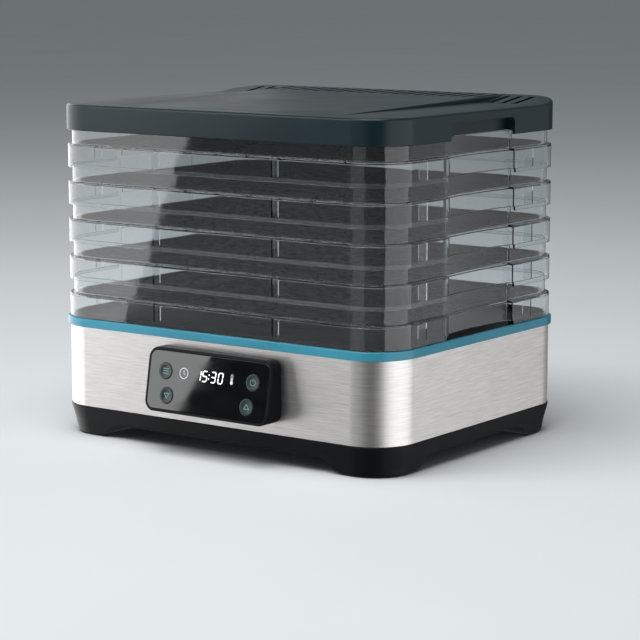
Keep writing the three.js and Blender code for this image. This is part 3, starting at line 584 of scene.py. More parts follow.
def circuit_board():
    """Green solder mask with a maze of tracks under it."""
    look = Look("circuit_board", (0.03, 0.16, 0.07), 0.35)
    mask = {"Color1": (0.02, 0.13, 0.055, 1), "Color2": (0.03, 0.18, 0.08, 1)}
    cells = look.node("ShaderNodeTexBrick", Scale=1.0, Mortar=(0.06, 0.26, 0.12, 1), **mask)
    look.link(look.place((260, 260, 260)), cells.inputs["Vector"])
    look.link(cells.outputs["Color"], look.shader.inputs["Base Color"])
    look.bump(cells.outputs["Fac"], 0.00003, 0.5)
    return look.material


CHARCOAL = (0.007, 0.02, 0.025)
BLACK = (0.0055, 0.006, 0.007)
TEAL = (0.042, 0.32, 0.45)
LOOKS = {
    "lid_plastic": moulded("lid_plastic", CHARCOAL, 0.34, Specular_IOR_Level=0.26),
    "black_plastic": moulded("black_plastic", BLACK, 0.42, Specular_IOR_Level=0.12),
    "accent_plastic": moulded("accent_plastic", TEAL, 0.3, grain=500, depth=0.00001, vary=0.05),
    "brushed_steel": brushed_steel(),
    "rubber": moulded("rubber", (0.012, 0.012, 0.013), 0.8, grain=1500, depth=0.00005),
    "panel_glass": black_glass(),
    "key_plastic": moulded("key_plastic", (0.016, 0.028, 0.03), 0.2, grain=300, depth=0.000004),
    "circuit_board": circuit_board(),
    "display": moulded("display", (0.8, 0.83, 0.85), 0.5),
    "cable_jacket": moulded("cable_jacket", (0.35, 0.36, 0.38), 0.5),
    "clear_plastic": clear_plastic(),
    "mesh_plastic": net_plastic(),
    "plated_steel": plated("plated_steel", (0.56, 0.57, 0.58), 0.36),
    "duct_metal": plated("duct_metal", (0.52, 0.53, 0.54), 0.42, 60),
    "mica_sheet": moulded("mica_sheet", (0.34, 0.26, 0.15), 0.6, grain=220, depth=0.00008, vary=0.4),
    "heater_wire": plated("heater_wire", (0.24, 0.21, 0.19), 0.5, 300),
    "ceramic": moulded("ceramic", (0.74, 0.7, 0.62), 0.6, grain=600),
}
LIT_WHITE = lit("lit_white", (0.95, 0.98, 1.0), 0.95)
LIT_GREY = lit("lit_grey", (0.6, 0.65, 0.67), 0.5)
DIM_TEAL = lit("dim_teal", (0.16, 0.36, 0.36), 0.25)


def finish_cad_nodes():
    """Every CAD node carried over takes the look of its slot in the record."""
    for part in frame["record"]["subparts"]:
        node = frame["nodes"][part["node"]]
        node.data.materials.clear()
        node.data.materials.append(LOOKS[part["material_slot"]])


# ---------------------------------------------------------------- trays


def tray_section(station):
    _, y, _, _, raised, inner, outer = station
    depth = recess_depth(min(abs(y), RECESS_HALF)) if raised or outer else 0
    bottom = raised * (NEST + GAP)
    skirt_out = SKIRT_OUT - outer * depth
    skirt_in = SKIRT_OUT - WALL - inner * depth
    neck_out = NECK_OUT + outer * (SKIRT_OUT - depth - RECESS_NECK - NECK_OUT)
    neck_in = NECK_OUT - WALL + inner * (SKIRT_OUT - depth - NECK_OUT)
    return [
        (skirt_out, bottom),
        (skirt_out, SKIRT_TOP),
        (neck_out, SKIRT_TOP),
        (neck_out, TRAY_PITCH + NEST),
        (neck_in, TRAY_PITCH + NEST),
        (neck_in, SKIRT_TOP),
        (LEDGE_IN, SKIRT_TOP),
        (LEDGE_IN, SKIRT_TOP - LEDGE_THICK),
        (skirt_in, SKIRT_TOP - LEDGE_THICK),
        (skirt_in, bottom),
    ]


def stands(low, top):
    """Thin ribs inside a skirt that stand on the neck below."""
    thick, deep = STAND_WIDTH / 2, STAND_DEPTH / 2
    shapes = []
    for sx in (-1, 1):
        for sy in (-1, 1):
            x, y = sx * STAND_X, sy * (DEPTH / 2 - STAND_INSET - deep)
            shapes.append(box(x - thick, y - deep, low, x + thick, y + deep, top))
            x, y = sx * (WIDTH / 2 - STAND_INSET - deep), sy * STAND_Y
            shapes.append(box(x - deep, y - thick, low, x + deep, y + thick, top))
    return shapes


def tray_mesh():
    points, faces, _ = ring(RECESSED, tray_section, TRAY_ROUND)
    body = solid(points, faces)
    low = SKIRT_TOP - LEDGE_THICK
    reach = DEPTH / 2 + LEDGE_IN + RIB_SUNK
    half = RIB_WIDTH / 2
    bars = []
    for k in range(-RIBS_EACH_SIDE, RIBS_EACH_SIDE + 1):
        bars.append(box(k * RIB_PITCH - half, -reach, low, k * RIB_PITCH + half, reach, SKIRT_TOP))
    boolean(body, solid(*merged(bars + stands(NEST + GAP, low + PAST))), "UNION")
    smooth(body)
    mesh = body.data
    bpy.data.objects.remove(body)
    return mesh


def build_trays():
    mesh = tray_mesh()
    for n in range(1, TRAY_COUNT + 1):
        made = make_object(f"clear_tray_{n}", mesh)
        made.location.z = (TRAY_Z + (n - 1) * TRAY_PITCH) * MM
        weight_normals(made)
        finished(made, f"tray_{n}_body", "clear_plastic", f"tray_{n}")


# ---------------------------------------------------------------- mesh mats

NET_PITCH = 3.1
STRAND_HALF_HIGH = 0.24
STRAND_HALF_WIDE = 0.5
LAYER_GAP = 0.03  # under the strands that run across
STRAND_WAVE = 0.05
WAVE_TURN = 9.3  # radians that the wave takes along a strand
ACROSS_PHASE, ALONG_PHASE = 1.7, 2.3  # by which it starts later from one strand to the next
HEM_WIDTH = 3.4
HEM_HIGH = 1
HEM_ROUND = 0.3


def strand(start, end, z, phase, segments=14, sides=6):
    """A flat strand between two (x, y) points, with a slight wave that starts at phase."""
    start, end = np.array(start, float), np.array(end, float)
    across = np.array([-(end - start)[1], (end - start)[0]])
    across /= np.linalg.norm(across)
    turn = np.arange(sides) * 2 * math.pi / sides
    points = []
    for k in range(segments + 1):
        t = k / segments
        middle = start + (end - start) * t
        lift = z + STRAND_WAVE * math.sin(WAVE_TURN * t + phase) * math.sin(math.pi * t)
        for a in turn:
            side = across * STRAND_HALF_WIDE * math.cos(a)
            high = STRAND_HALF_HIGH * math.sin(a)
            points.append((middle[0] + side[0], middle[1] + side[1], lift + high))
    faces = grid_faces(segments + 1, sides, close_rows=False, flip=True)
    faces.append(list(range(sides)))
    faces.append([segments * sides + j for j in range(sides)][::-1])
    return points, faces


def half_length(offset, half_width, half_depth, radius):
    """Half the length of a line across a rounded rectangle, at an offset from its middle along half_depth."""
    beyond = abs(offset) - (half_depth - radius)
    if beyond <= 0:
        return half_width
    return half_width - radius + math.sqrt(max(radius * radius - beyond * beyond, 0))


def net_mesh():
    half_x = (mat_high[0] - mat_low[0]) / 2
    half_y = (mat_high[1] - mat_low[1]) / 2
    radius = CORNER + half_x - WIDTH / 2
    inset = HEM_WIDTH / 2
    low_layer = STRAND_HALF_HIGH + LAYER_GAP
    high_layer = 3 * STRAND_HALF_HIGH + LAYER_GAP
    strands = []
    last = int((half_y - inset) / NET_PITCH)
    for k in range(-last, last + 1):
        y = k * NET_PITCH
        x = half_length(y, half_x, half_y, radius) - inset
        strands.append(strand((-x, y), (x, y), low_layer, ACROSS_PHASE * k))
    last = int((half_x - inset) / NET_PITCH)
    for k in range(-last, last + 1):
        x = k * NET_PITCH
        y = half_length(x, half_y, half_x, radius) - inset
        strands.append(strand((x, -y), (x, y), high_layer, ALONG_PHASE * k))
    outer = half_x - WIDTH / 2
    inner = outer - HEM_WIDTH
    section = [(outer, 0), (outer, HEM_HIGH), (inner, HEM_HIGH), (inner, 0)]
    hem = ring(PLAIN, lambda station: section, HEM_ROUND)
    points, faces = merged([*strands, hem[:2]])
    mesh = make_mesh("net", points, faces)
    mesh.polygons.foreach_set("use_smooth", [True] * len(mesh.polygons))
    return mesh


def build_mats():
    mesh = net_mesh()
    for n in range(1, TRAY_COUNT + 1):
        made = make_object(f"net_mat_{n}", mesh)
        made.location.z = (mat_low[2] + (n - 1) * TRAY_PITCH) * MM
        finished(made, f"tray_{n}_body", "mesh_plastic", f"mesh_mat_{n}")


# ---------------------------------------------------------------- lid


def lid_side():
    """The lid's outer side, with its lower edge broken, and the round over its top edge."""
    over = arc(-LID_BEVEL, LID_TOP - LID_BEVEL, LID_BEVEL, 0, 0.5, 6)
    return [(-0.5, LID_Z), (0, LID_Z + 0.5), *over]


def rise_at(y):
    """How far the slope at the rear lifts the top of the lid."""
    return RISE * min(max((y - SLOPE_FOOT) / (DEPTH / 2 - LID_BEVEL - SLOPE_FOOT), 0), 1)


def risen_block(levels, above):
    """A block whose levels from a height up follow the slope at the rear, under a flat and a sloping top."""
    foot = [(sx * WIDTH / 2, SLOPE_FOOT, sx, 0, 0, 0, 0) for sx in (1, -1)]
    corner = CORNER_STEPS + 1
    right, left = corner, 3 * corner + 1
    stations = np.concatenate([PLAIN[:right], foot[:1], PLAIN[right : left - 1], foot[1:], PLAIN[left - 1 :]])
    points, faces = block(levels, stations)
    points = [(x, y, z + rise_at(y) if z > above - 0.01 else z) for x, y, z in points]
    faces.pop()
    rows, count = len(stations), len(levels)
    top = [i * count + count - 1 for i in range(rows)]
    faces.append(top[: right + 1] + top[left:])
    faces.append(top[right : left + 1])
    return points, faces


def platform(top, inset, chamfer):
    """The raised middle of the lid, rising from the front to the rear, with its side edges broken."""
    front = -DEPTH / 2 + PLATFORM_START + inset
    back = DEPTH / 2 - LID_BEVEL - inset
    half = PLATFORM_HALF - inset
    points, faces = [], []
    for y, high in ((front, PLATFORM_FRONT_RISE), (back, RISE)):
        drop = min(chamfer, 0.8 * high)
        edge = half - drop * CHAMFER_SLOPE
        left = [(-half, -PAST), (-half, high - drop), (-edge, high)]
        right = [(-x, z) for x, z in reversed(left)]
        points += [(x, y, top + z) for x, z in left + right]
    count = len(points) // 2
    faces += [list(range(count)), [count + i for i in range(count)][::-1]]
    for i in range(count):
        j = (i + 1) % count
        faces.append((j, i, count + i, count + j))
    return points, faces


def lid_pocket(side):
    """The finger recess in one side of the lid: open below, with round upper corners."""
    radius, half = POCKET_ROUND, RECESS_HALF
    profile = [(-half, -2 * PAST), (half, -2 * PAST)]
    for start, centre_y in ((0, half - radius), (0.5, -half + radius)):
        profile += arc(centre_y, POCKET_HIGH - radius, radius, start, 0.5, 8)
    x0, x1 = sorted((side * (WIDTH / 2 + PAST), side * (WIDTH / 2 - POCKET_DEEP)))
    points, faces = along(prism(profile, x0, x1), (2, 0, 1))
    return points + (0, 0, LID_Z), faces


def vent_slot(x, low, high):
    front, back = VENT_FRONT, DEPTH / 2 - VENT_BACK
    slot = rounded_rectangle(VENT_WIDTH, back - front, VENT_WIDTH / 2 - 0.01, 6)
    return prism([(x + px, (front + back) / 2 + py) for px, py in slot], low, high)


def build_lid():
    inside = LID_TOP - LID_THICK
    step = LID_Z + NEST + GAP
    lid = solid(*risen_block(lid_side(), LID_TOP - LID_BEVEL), "lid_cover")
    hollow = [(-LID_WALL, LID_Z - PAST), (-LID_WALL, inside)]
    boolean(lid, solid(*risen_block(hollow, inside)), "DIFFERENCE")
    walls = []
    length = RECESS_HALF + LID_THICK
    for side in (-1, 1):
        x0, x1 = sorted((side * (WIDTH / 2 - 0.5), side * (WIDTH / 2 - POCKET_BACK)))
        walls.append(box(x0, -length, step, x1, length, inside + PAST))
    joined = [platform(LID_TOP, 0, PLATFORM_CHAMFER), *stands(step, inside + 0.9), *walls]
    boolean(lid, solid(*merged(joined)), "UNION")
    boolean(lid, solid(*platform(inside, LID_THICK, 0)), "DIFFERENCE")
    last = int((WIDTH / 2 - VENT_MARGIN) / VENT_PITCH)
    low, high = inside - 2 * PAST, LID_TOP + RISE + 2 * PAST
    slots = [vent_slot(k * VENT_PITCH, low, high) for k in range(-last, last + 1)]
    boolean(lid, solid(*merged([lid_pocket(-1), lid_pocket(1), *slots])), "DIFFERENCE")
    smooth(lid, bevel=0.35)
    finished(lid, "lid_body", "lid_plastic", "lid")


# ---------------------------------------------------------------- base shells


def band(name, outer, inner, low, high, radius, steps):
    """A flat band all the way round the machine."""
    section = [(outer, low), (outer, high), (inner, high), (inner, low)]
    points, faces, uv = ring(PLAIN, lambda station: section, radius, steps)
    made = solid(points, faces, name, uv)
    smooth(made)
    return made


def build_ring():
    made = band("accent_band", RING_OUT, RING_IN, ring_low[2], ring_high[2], 0.6, 4)
    finished(made, "base", "accent_plastic", "accent_ring")


def build_steel():
    inner = STEEL_OUT - STEEL_THICK
    made = band("steel_band", STEEL_OUT, inner, steel_low[2], steel_high[2], 0.25, 2)
    finished(made, "base", "brushed_steel", "steel_wrap")


def arch(half_span, reach):
    """The space between the feet along one side, as a prism through the machine."""
    foot = half_span - FOOT_LENGTH
    top = foot - ARCH_BLEND
    xs = (foot, foot - ARCH_PULL, top + ARCH_PULL, top)
    zs = (FOOT_Z, FOOT_Z, FLOOR_Z, FLOOR_Z)
    curve, steps = [], 12
    for k in range(steps + 1):
        t = k / steps
        weights = ((1 - t) ** 3, 3 * t * (1 - t) ** 2, 3 * t * t * (1 - t), t**3)
        curve.append((sum(w * x for w, x in zip(weights, xs)), sum(w * z for w, z in zip(weights, zs))))
    left = [(-x, z) for x, z in reversed(curve)]
    profile = [(-foot, -PAST), (foot, -PAST), *curve, *left]
    return along(prism(profile, -reach, reach), (0, 2, 1))


def grille_slots(z0, z1):
    """Slots in rows across a round grille, parted along its middle by a rib."""
    slots = []
    for k in range(-GRILLE_ROWS, GRILLE_ROWS + 1):
        y = GRILLE_PITCH * k
        half = math.sqrt(GRILLE_RADIUS * GRILLE_RADIUS - y * y)
        for side in (-1, 1):
            x0, x1 = sorted((side * GRILLE_RIB, side * half))
            shape = rounded_rectangle(x1 - x0, GRILLE_SLOT, GRILLE_ROUND, 5)
            moved = [((x0 + x1) / 2 + px, y + py) for px, py in shape]
            slots.append(prism(moved, z0, z1))
    return slots


def chassis_side():
    """The outer side of the lower shell, from the feet up over the flange to the top of the tub."""
    tub_top = steel_high[2]
    foot = [(-5.5, FOOT_Z), (-3.4, FLOOR_Z), (-0.5, FLANGE_Z - 2.5)]
    flange = [(-0.3, FLANGE_Z - 0.3), (-0.6, FLANGE_Z)]
    return [*foot, *flange, (TUB_OUT, FLANGE_Z), (TUB_OUT, tub_top)]


def chassis_posts():
    low = FLOOR_TOP - POST_SUNK
    reach, high, radius = MOTOR_POST
    posts = [drum(side * reach, 0, low, high, radius, 24) for side in (-1, 1)]
    reach, high, radius = DUCT_POST
    posts += [drum(0, side * reach, low, high, radius, 20) for side in (-1, 1)]
    for x in BOARD_POST_X:
        for y in (-BOARD_POST_Y, BOARD_POST_Y):
            posts.append(drum(x, y, low, BOARD_POST_TOP, BOARD_POST_RADIUS, 16))
    return posts


def build_chassis():
    made = solid(*block(chassis_side()), "chassis_shell")
    hollow = [(TUB_IN, FLOOR_TOP), (TUB_IN, steel_high[2] + PAST)]
    boolean(made, solid(*block(hollow)), "DIFFERENCE")
    boolean(made, solid(*arch(WIDTH / 2, DEPTH)), "DIFFERENCE")
    boolean(made, solid(*along(arch(DEPTH / 2, WIDTH), (1, 0, 2))), "DIFFERENCE")
    low, high = FLOOR_Z - PAST, FLOOR_TOP + PAST
    cutters = grille_slots(low, high)
    for sx in (-1, 1):
        for sy in (-1, 1):
            cutters.append(drum(sx * PAD_X, sy * PAD_Y, 0, PAD_TOP, PAD_HOLLOW, 48))
            cutters.append(drum(sx * SCREW_X, sy * SCREW_Y, low, high, SCREW_HOLE, 20))
    boolean(made, solid(*merged(cutters)), "DIFFERENCE")
    boolean(made, solid(*merged(chassis_posts())), "UNION")
    smooth(made, bevel=0.4)
    finished(made, "base", "black_plastic", "bottom_chassis")


# ---------------------------------------------------------------- control pod

# The face frame: x across, y up the face, z straight out of it, from the middle of its lower edge.
FACE_START = Matrix.Translation(Vector((POD_X, FRONT_FACE - POD_LOW_DEPTH, POD_LOW)))
FACE = FACE_START @ Matrix.Rotation(math.pi / 2 - POD_TILT, 4, "X")


def on_face(points):
    return np.array([FACE @ Vector(p) for p in points])


def pod_rim(inset, depth):
    """The pod's outline drawn in by inset, on the plane depth behind its face."""
    width, height = POD_WIDTH - 2 * inset, POD_HEIGHT - 2 * inset
    rows = []
    for x, up in rounded_rectangle(width, height, max(POD_RADIUS - inset, 0.5), 12):
        height = up + POD_HEIGHT / 2
        front = FRONT_FACE - POD_LOW_DEPTH + height * math.tan(POD_TILT)
        rows.append((POD_X + x, front + depth / math.cos(POD_TILT), POD_LOW + height))
    return rows


def pod_back(inset):
    """The same outline, on the plane of the pod's back."""
    return [(x, FRONT_FACE - GAP, z) for x, _, z in pod_rim(inset, 0)]


def build_housing():
    levels = [pod_back(0), pod_rim(0, POD_EDGE)]
    for inset, height in arc(0, 0, POD_EDGE, 0, 0.5, 4)[1:]:
        levels.append(pod_rim(POD_EDGE - inset, POD_EDGE - height))
    lip = POD_RIM + RIM_LIP
    levels += [pod_rim(POD_RIM - RIM_DROP, 0), pod_rim(POD_RIM, RIM_DROP)]
    levels += [pod_rim(POD_RIM, RIM_DEPTH), pod_rim(lip, RIM_DEPTH), pod_back(lip)]
    points = np.concatenate([np.array(level) for level in levels])
    made = solid(points, grid_faces(len(levels), len(levels[0])), "pod_shell")
    smooth(made)
    finished(made, "base", "black_plastic", "pod_housing")


def build_glass():
    inset = POD_RIM + GAP
    shape = rounded_rectangle(POD_WIDTH - 2 * inset, POD_SLOPE - 2 * inset, POD_RADIUS - inset, 12)
    points, faces = prism([(x, y + POD_SLOPE / 2) for x, y in shape], -GLASS_THICK, 0)
    made = solid(on_face(points), faces, "pod_window")
    holes = []
    for x, y in KEYS.values():
        hole = drum(x, y, -GLASS_THICK - PAST, PAST, KEY_RADIUS + KEY_SLIT, 56)
        holes.append((on_face(hole[0]), hole[1]))
    boolean(made, solid(*merged(holes)), "DIFFERENCE")
    smooth(made, bevel=0.2)
    finished(made, "base", "panel_glass", "pod_glass")


def lathe(profile, x, y, sides=56):
    """A profile of (radius, z) points, from axis to axis, turned about a line along the face's z at x, y."""
    points = []
    count = len(profile) - 2
    for nx, ny in circle(0, 0, 1, sides):
        points += [(x + r * nx, y + r * ny, z) for r, z in profile[1:-1]]
    points += [(x, y, profile[0][1]), (x, y, profile[-1][1])]
    faces = grid_faces(sides, count, close_columns=False)
    for k in range(sides):
        this, following = k * count, (k + 1) % sides * count
        faces.append((len(points) - 2, following, this))
        faces.append((len(points) - 1, this + count - 1, following + count - 1))
    return points, faces


MARK = 0.05  # thickness of the printed marks
KEY_MARK_LINE = 0.5
MARK_Z = 0.01  # of the display's marks, over the glass


def flat(shape, z):
    """A flat mark with an outline of (x, y) points."""
    return prism(shape, z, z + MARK)


def stroke(path, width, z, closed=False):
    """A flat line of even width along (x, y) points, as one prism per stretch with a round at each bend."""
    shapes = []
    ends = path[1:] + path[:1] if closed else path[1:]
    for (x0, y0), (x1, y1) in zip(path, ends):
        length = math.hypot(x1 - x0, y1 - y0)
        nx, ny = -(y1 - y0) / length * width / 2, (x1 - x0) / length * width / 2
        right, left = [(x0 - nx, y0 - ny), (x1 - nx, y1 - ny)], [(x1 + nx, y1 + ny), (x0 + nx, y0 + ny)]
        shapes.append(flat(right + left, z))
    for x, y in path:
        shapes.append(flat(circle(x, y, width / 2, 10), z))
    return shapes


def annulus(x, y, radius, width, z, sides=40):
    """A flat ring."""
    inner, outer = radius - width / 2, radius + width / 2
    section = ((inner, z), (outer, z), (outer, z + MARK), (inner, z + MARK))
    points = []
    for nx, ny in circle(0, 0, 1, sides):
        points += [(x + r * nx, y + r * ny, h) for r, h in section]
    return points, grid_faces(sides, len(section))


def key_icon(name, x, y, z):
    """The mark on a key: three bars, a triangle down, a power sign or a triangle up."""
    if name == "menu":
        shapes = []
        for k in (-1, 0, 1):
            shapes += stroke([(x - 2.6, y + 1.9 * k), (x + 2.6, y + 1.9 * k)], 0.55, z)
        return shapes
    if name == "power":
        ring_line, bar = arc(x, y, 2.5, 125 / 180, 290 / 180, 20), [(x, y + 0.6), (x, y + 3.1)]
        return stroke(ring_line, KEY_MARK_LINE, z) + stroke(bar, KEY_MARK_LINE, z)
    tip = 1 if name == "up" else -1
    corners = [(x - 2.5, y - 1.7 * tip), (x + 2.5, y - 1.7 * tip), (x, y + 2.2 * tip)]
    return stroke(corners, KEY_MARK_LINE, z, closed=True)


def key_profile():
    """A key from its back to its dished top, as (radius, z) points."""
    stem = [(0, -4.5), (2.4, -4.5), (2.4, -3.3)]
    collar = [(KEY_RADIUS + 0.8, -3.3), (KEY_RADIUS + 0.8, -2.3), (KEY_RADIUS, -2.3)]
    edge = [(KEY_RADIUS, KEY_PROUD - 0.35), (KEY_RADIUS - 0.1, KEY_PROUD - 0.12)]
    edge += [(KEY_RADIUS - 0.35, KEY_PROUD), (KEY_RADIUS - 1.2, KEY_PROUD - 0.05)]
    return [*stem, *collar, *edge, (3, KEY_PROUD - 0.15), (0, KEY_PROUD - 0.2)]


def build_keys():
    for name, (x, y) in KEYS.items():
        points, faces = lathe(key_profile(), x, y)
        cap = solid(on_face(points), faces, f"key_cap_{name}")
        smooth(cap)
        finished(cap, f"key_{name}_body", "key_plastic", f"key_{name}")
        points, faces = merged(key_icon(name, x, y, KEY_PROUD - 0.17))
        icon = solid(on_face(points), faces, f"key_icon_{name}")
        finished(icon, f"key_{name}_body", "display", material=DIM_TEAL)


# Which of the seven segments are lit: top, upper right, lower right, bottom, lower left, upper left, middle.
SEGMENTS = {"1": (1, 2), "5": (0, 2, 3, 5, 6), "3": (0, 1, 2, 3, 6), "0": (0, 1, 2, 3, 4, 5)}
CLOCK = (("1", -12.6), ("5", -6.4), ("3", 2.2), ("0", 9.4))  # each digit and its left edge
COLON_X = 0.35
COLON_UP = (2.9, 6.1)
COLON_RADIUS = 0.65
DIGIT_WIDTH = 5.2
DIGIT_HEIGHT = 9.1
DIGIT_LOW = 28.5
DIGIT_LINE = 0.95
DIGIT_SLANT = 0.1
DIGIT_GAP = 0.12  # at each end of a segment
DIAL_X, DIAL_Y, DIAL_RADIUS = -24.7, 33.2, 4.1
DIAL_LINE = 0.6
HAND_LINE = 0.5
BULB_X, BULB_Y, BULB_RADIUS = 23.7, 30.7, 1.35
STEM_LOW, STEM_HIGH, STEM_HALF = 31.6, 36.4, 0.85
STEM_LINE = 0.4
MERCURY_LOW, MERCURY_HIGH, MERCURY_HALF = 31.5, 34.6, 0.3


def segment(x0, y0, x1, y1):
    """One bar with pointed ends."""
    along_x, along_y = x1 - x0, y1 - y0
    length = math.hypot(along_x, along_y)
    ux, uy = along_x / length, along_y / length
    nx, ny = -uy * DIGIT_LINE / 2, ux * DIGIT_LINE / 2
    tip = DIGIT_LINE / 2
    x0, y0 = x0 + ux * DIGIT_GAP, y0 + uy * DIGIT_GAP
    x1, y1 = x1 - ux * DIGIT_GAP, y1 - uy * DIGIT_GAP
    a = (x0 + ux * tip, y0 + uy * tip)
    b = (x1 - ux * tip, y1 - uy * tip)
    right = [(a[0] - nx, a[1] - ny), (b[0] - nx, b[1] - ny)]
    left = [(b[0] + nx, b[1] + ny), (a[0] + nx, a[1] + ny)]
    return [(x0, y0), *right, (x1, y1), *left]


def digit(character, left):
    """A seven-segment digit as slanted bars."""
    half = DIGIT_LINE / 2
    x0, x1 = left + half, left + DIGIT_WIDTH - half
    y0, y1, y2 = DIGIT_LOW + half, DIGIT_LOW + DIGIT_HEIGHT / 2, DIGIT_LOW + DIGIT_HEIGHT - half
    bars = [
        (x0, y2, x1, y2), (x1, y1, x1, y2), (x1, y0, x1, y1), (x0, y0, x1, y0),
        (x0, y0, x0, y1), (x0, y1, x0, y2), (x0, y1, x1, y1),
    ]
    shapes = []
    for index in SEGMENTS[character]:
        slanted = [(x + (y - DIGIT_LOW) * DIGIT_SLANT, y) for x, y in segment(*bars[index])]
        shapes.append(flat(slanted, MARK_Z))
    return shapes


def dial():
    """A small clock face."""
    hands = [(DIAL_X, DIAL_Y + 2.4), (DIAL_X, DIAL_Y), (DIAL_X + 1.5, DIAL_Y - 0.9)]
    return [annulus(DIAL_X, DIAL_Y, DIAL_RADIUS, DIAL_LINE, MARK_Z), *stroke(hands, HAND_LINE, MARK_Z)]


def thermometer():
    top = arc(BULB_X, STEM_HIGH, STEM_HALF, 0, 1, 10)
    stem = [(BULB_X + STEM_HALF, STEM_LOW), *top, (BULB_X - STEM_HALF, STEM_LOW)]
    x0, x1 = BULB_X - MERCURY_HALF, BULB_X + MERCURY_HALF
    mercury = [(x0, MERCURY_LOW), (x1, MERCURY_LOW), (x1, MERCURY_HIGH), (x0, MERCURY_HIGH)]
    bulb = flat(circle(BULB_X, BULB_Y, BULB_RADIUS, 24), MARK_Z)
    return [bulb, *stroke(stem, STEM_LINE, MARK_Z), flat(mercury, MARK_Z)]


def display_piece(name, shapes, material):
    points, faces = merged(shapes)
    made = solid(on_face(points), faces, name)
    finished(made, "base", "display", material=material)


def build_display():
    """The lit clock and its two icons."""
    shapes = []
    for character, left in CLOCK:
        shapes += digit(character, left)
    for up in COLON_UP:
        dot = circle(COLON_X + up * DIGIT_SLANT, DIGIT_LOW + up, COLON_RADIUS, 16)
        shapes.append(flat(dot, MARK_Z))
    display_piece("display_digits", shapes, LIT_WHITE)
    display_piece("display_icons", dial() + thermometer(), LIT_GREY)


# ---------------------------------------------------------------- heater

WIRE_RADIUS = 0.55
WIRE_TURNS = 58


def build_coil():
    """Resistance wire wound round the ring that the frame's notches hold."""
    low, high = box_mm("heater_coil")
    centre_z = (low[2] + high[2]) / 2
    ring_radius = (high[0] - low[0]) / 2 - (high[2] - low[2]) / 2
    wind = (high[2] - low[2]) / 2 - WIRE_RADIUS
    per_turn, sides = 14, 6
    total = WIRE_TURNS * per_turn
    points = []
    for k in range(total):
        a, b = 2 * math.pi * k / total, 2 * math.pi * k / per_turn
        radial = np.array([math.cos(a), math.sin(a), 0])
        out = radial * math.cos(b) + np.array([0, 0, math.sin(b)])
        middle = radial * ring_radius + out * wind + np.array([0, 0, centre_z])
        tangent = np.cross([0, 0, 1.0], radial)
        for j in range(sides):
            c = 2 * math.pi * j / sides
            points.append(middle + WIRE_RADIUS * (out * math.cos(c) + tangent * math.sin(c)))
    made = solid(points, grid_faces(total, sides), "wound_coil")
    smooth(made, 60)
    finished(made, "base", "heater_wire", "heater_coil")


# ---------------------------------------------------------------- studio

# Panels round the machine, seen only in its reflections, bright softboxes and dark flags:
# name, the two azimuths that it reaches between, lower and upper height, distance, strength and lean.
# Azimuths are in degrees, 0 in front and 90 on the right. Heights and distances are in metres.
# lean moves the second end of the upper edge by that many degrees, so that this side of the panel slants.
PANELS = [
    ("left_softbox", -128, -50.8, -1.45, 1.4, 2.36, 2.5, 23.7),
    ("middle_softbox", -28, 8, -1.4, 1.4, 2.6, 0.5, 0),
    ("front_flag", -54, 56, -2.4, 1.7, 2.7, 0.02, 0),
    ("right_softbox", 58, 130, -1.4, 1.4, 2.3, 1.75, 0),
    ("side_softbox", 130, 158, -1.4, 1.4, 2.32, 0.5, 0),
    ("rear_flag", 158, 206, -2.4, 1.6, 2.6, 0.08, 0),
    ("back_softbox", -142, -112, 0.12, 1.9, 2.6, 0.5, 0),
    ("back_flag", -166, -142, 0.12, 1.9, 2.6, 0.22, 0),
]
AIR_COLOUR = (0.86, 0.91, 0.93)
AIR_STRENGTH = 0.25
FLOOR_RADIUS = 30
CAMERA_PLACE = (1.1066, -1.4994, 0.3892)
CAMERA_DOWN = 9.0  # degrees below level
CAMERA_TURN = 36.06  # degrees to the left of straight ahead
CAMERA_LENS = 126.6
CAMERA_SENSOR = 36


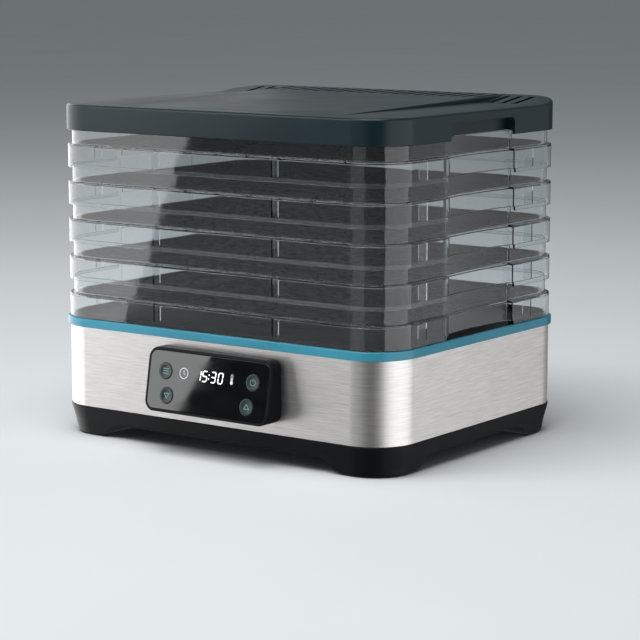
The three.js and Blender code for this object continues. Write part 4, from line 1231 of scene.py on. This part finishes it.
def wall(name, azimuth_from, azimuth_to, low, high, radius, strength, lean, steps=12):
    """One of the panels, as a strip of four-sided faces."""
    corners = []
    for k in range(steps + 1):
        share = k / steps
        azimuth = azimuth_from + (azimuth_to - azimuth_from) * share
        for height, shift in ((low, 0), (high, lean * share)):
            a = math.radians(azimuth + shift)
            corners.append((radius * math.sin(a), -radius * math.cos(a), height))
    faces = [(2 * k, 2 * k + 2, 2 * k + 3, 2 * k + 1) for k in range(steps)]
    mesh = bpy.data.meshes.new(name)
    mesh.from_pydata(corners, [], faces)
    made = make_object(name, mesh)
    material = bpy.data.materials.new(name)
    material.use_nodes = True
    material.cycles.emission_sampling = "NONE"
    tree = material.node_tree
    tree.nodes.clear()
    light = tree.nodes.new("ShaderNodeEmission")
    light.inputs["Strength"].default_value = strength
    output = tree.nodes.new("ShaderNodeOutputMaterial")
    tree.links.new(light.outputs[0], output.inputs["Surface"])
    mesh.materials.append(material)
    made.visible_camera = False
    made.visible_diffuse = False
    made.visible_transmission = False
    made.visible_shadow = False


def area(name, place, aim, width, height, power):
    """A soft lamp that points at aim."""
    data = bpy.data.lights.new(name, "AREA")
    data.shape = "RECTANGLE"
    data.size, data.size_y, data.energy = width, height, power
    lamp = make_object(name, data)
    lamp.location = place
    lamp.rotation_euler = (Vector(aim) - Vector(place)).to_track_quat("-Z", "Y").to_euler()
    lamp.visible_camera = False


def build_studio():
    scene = bpy.context.scene
    world = bpy.data.worlds.new("studio")
    scene.world = world
    world.use_nodes = True
    background = world.node_tree.nodes["Background"]
    background.inputs["Color"].default_value = (*AIR_COLOUR, 1)
    background.inputs["Strength"].default_value = AIR_STRENGTH

    bpy.ops.mesh.primitive_circle_add(vertices=96, radius=FLOOR_RADIUS, fill_type="NGON")
    floor = bpy.context.object
    floor.name = "floor"
    look = Look("floor", (0.7, 0.73, 0.74), 0.6, Specular_IOR_Level=0.0)
    look.colours(look.noise((3, 3, 3)), (0.69, 0.72, 0.73), (0.71, 0.74, 0.75))
    floor.data.materials.append(look.material)
    floor.visible_glossy = False

    area("top_light", (0.1, -0.75, 2.2), (0, -0.1, 0.1), 1.8, 1.8, 48)
    area("key_light", (-1.6, -1.7, 1.9), (0, 0, 0.15), 1.3, 1.0, 16)

    for panel in PANELS:
        wall(*panel)

    camera = bpy.data.cameras.new("camera")
    camera.lens, camera.sensor_width = CAMERA_LENS, CAMERA_SENSOR
    camera.clip_end = 100
    viewer = make_object("camera", camera)
    viewer.location = CAMERA_PLACE
    viewer.rotation_euler = (math.radians(90 - CAMERA_DOWN), 0, math.radians(CAMERA_TURN))
    scene.camera = viewer
    scene.view_settings.view_transform = "Standard"


finish_cad_nodes()
build_studio()
build_trays()
build_mats()
build_lid()
build_ring()
build_steel()
build_chassis()
build_housing()
build_glass()
build_keys()
build_display()
build_coil()
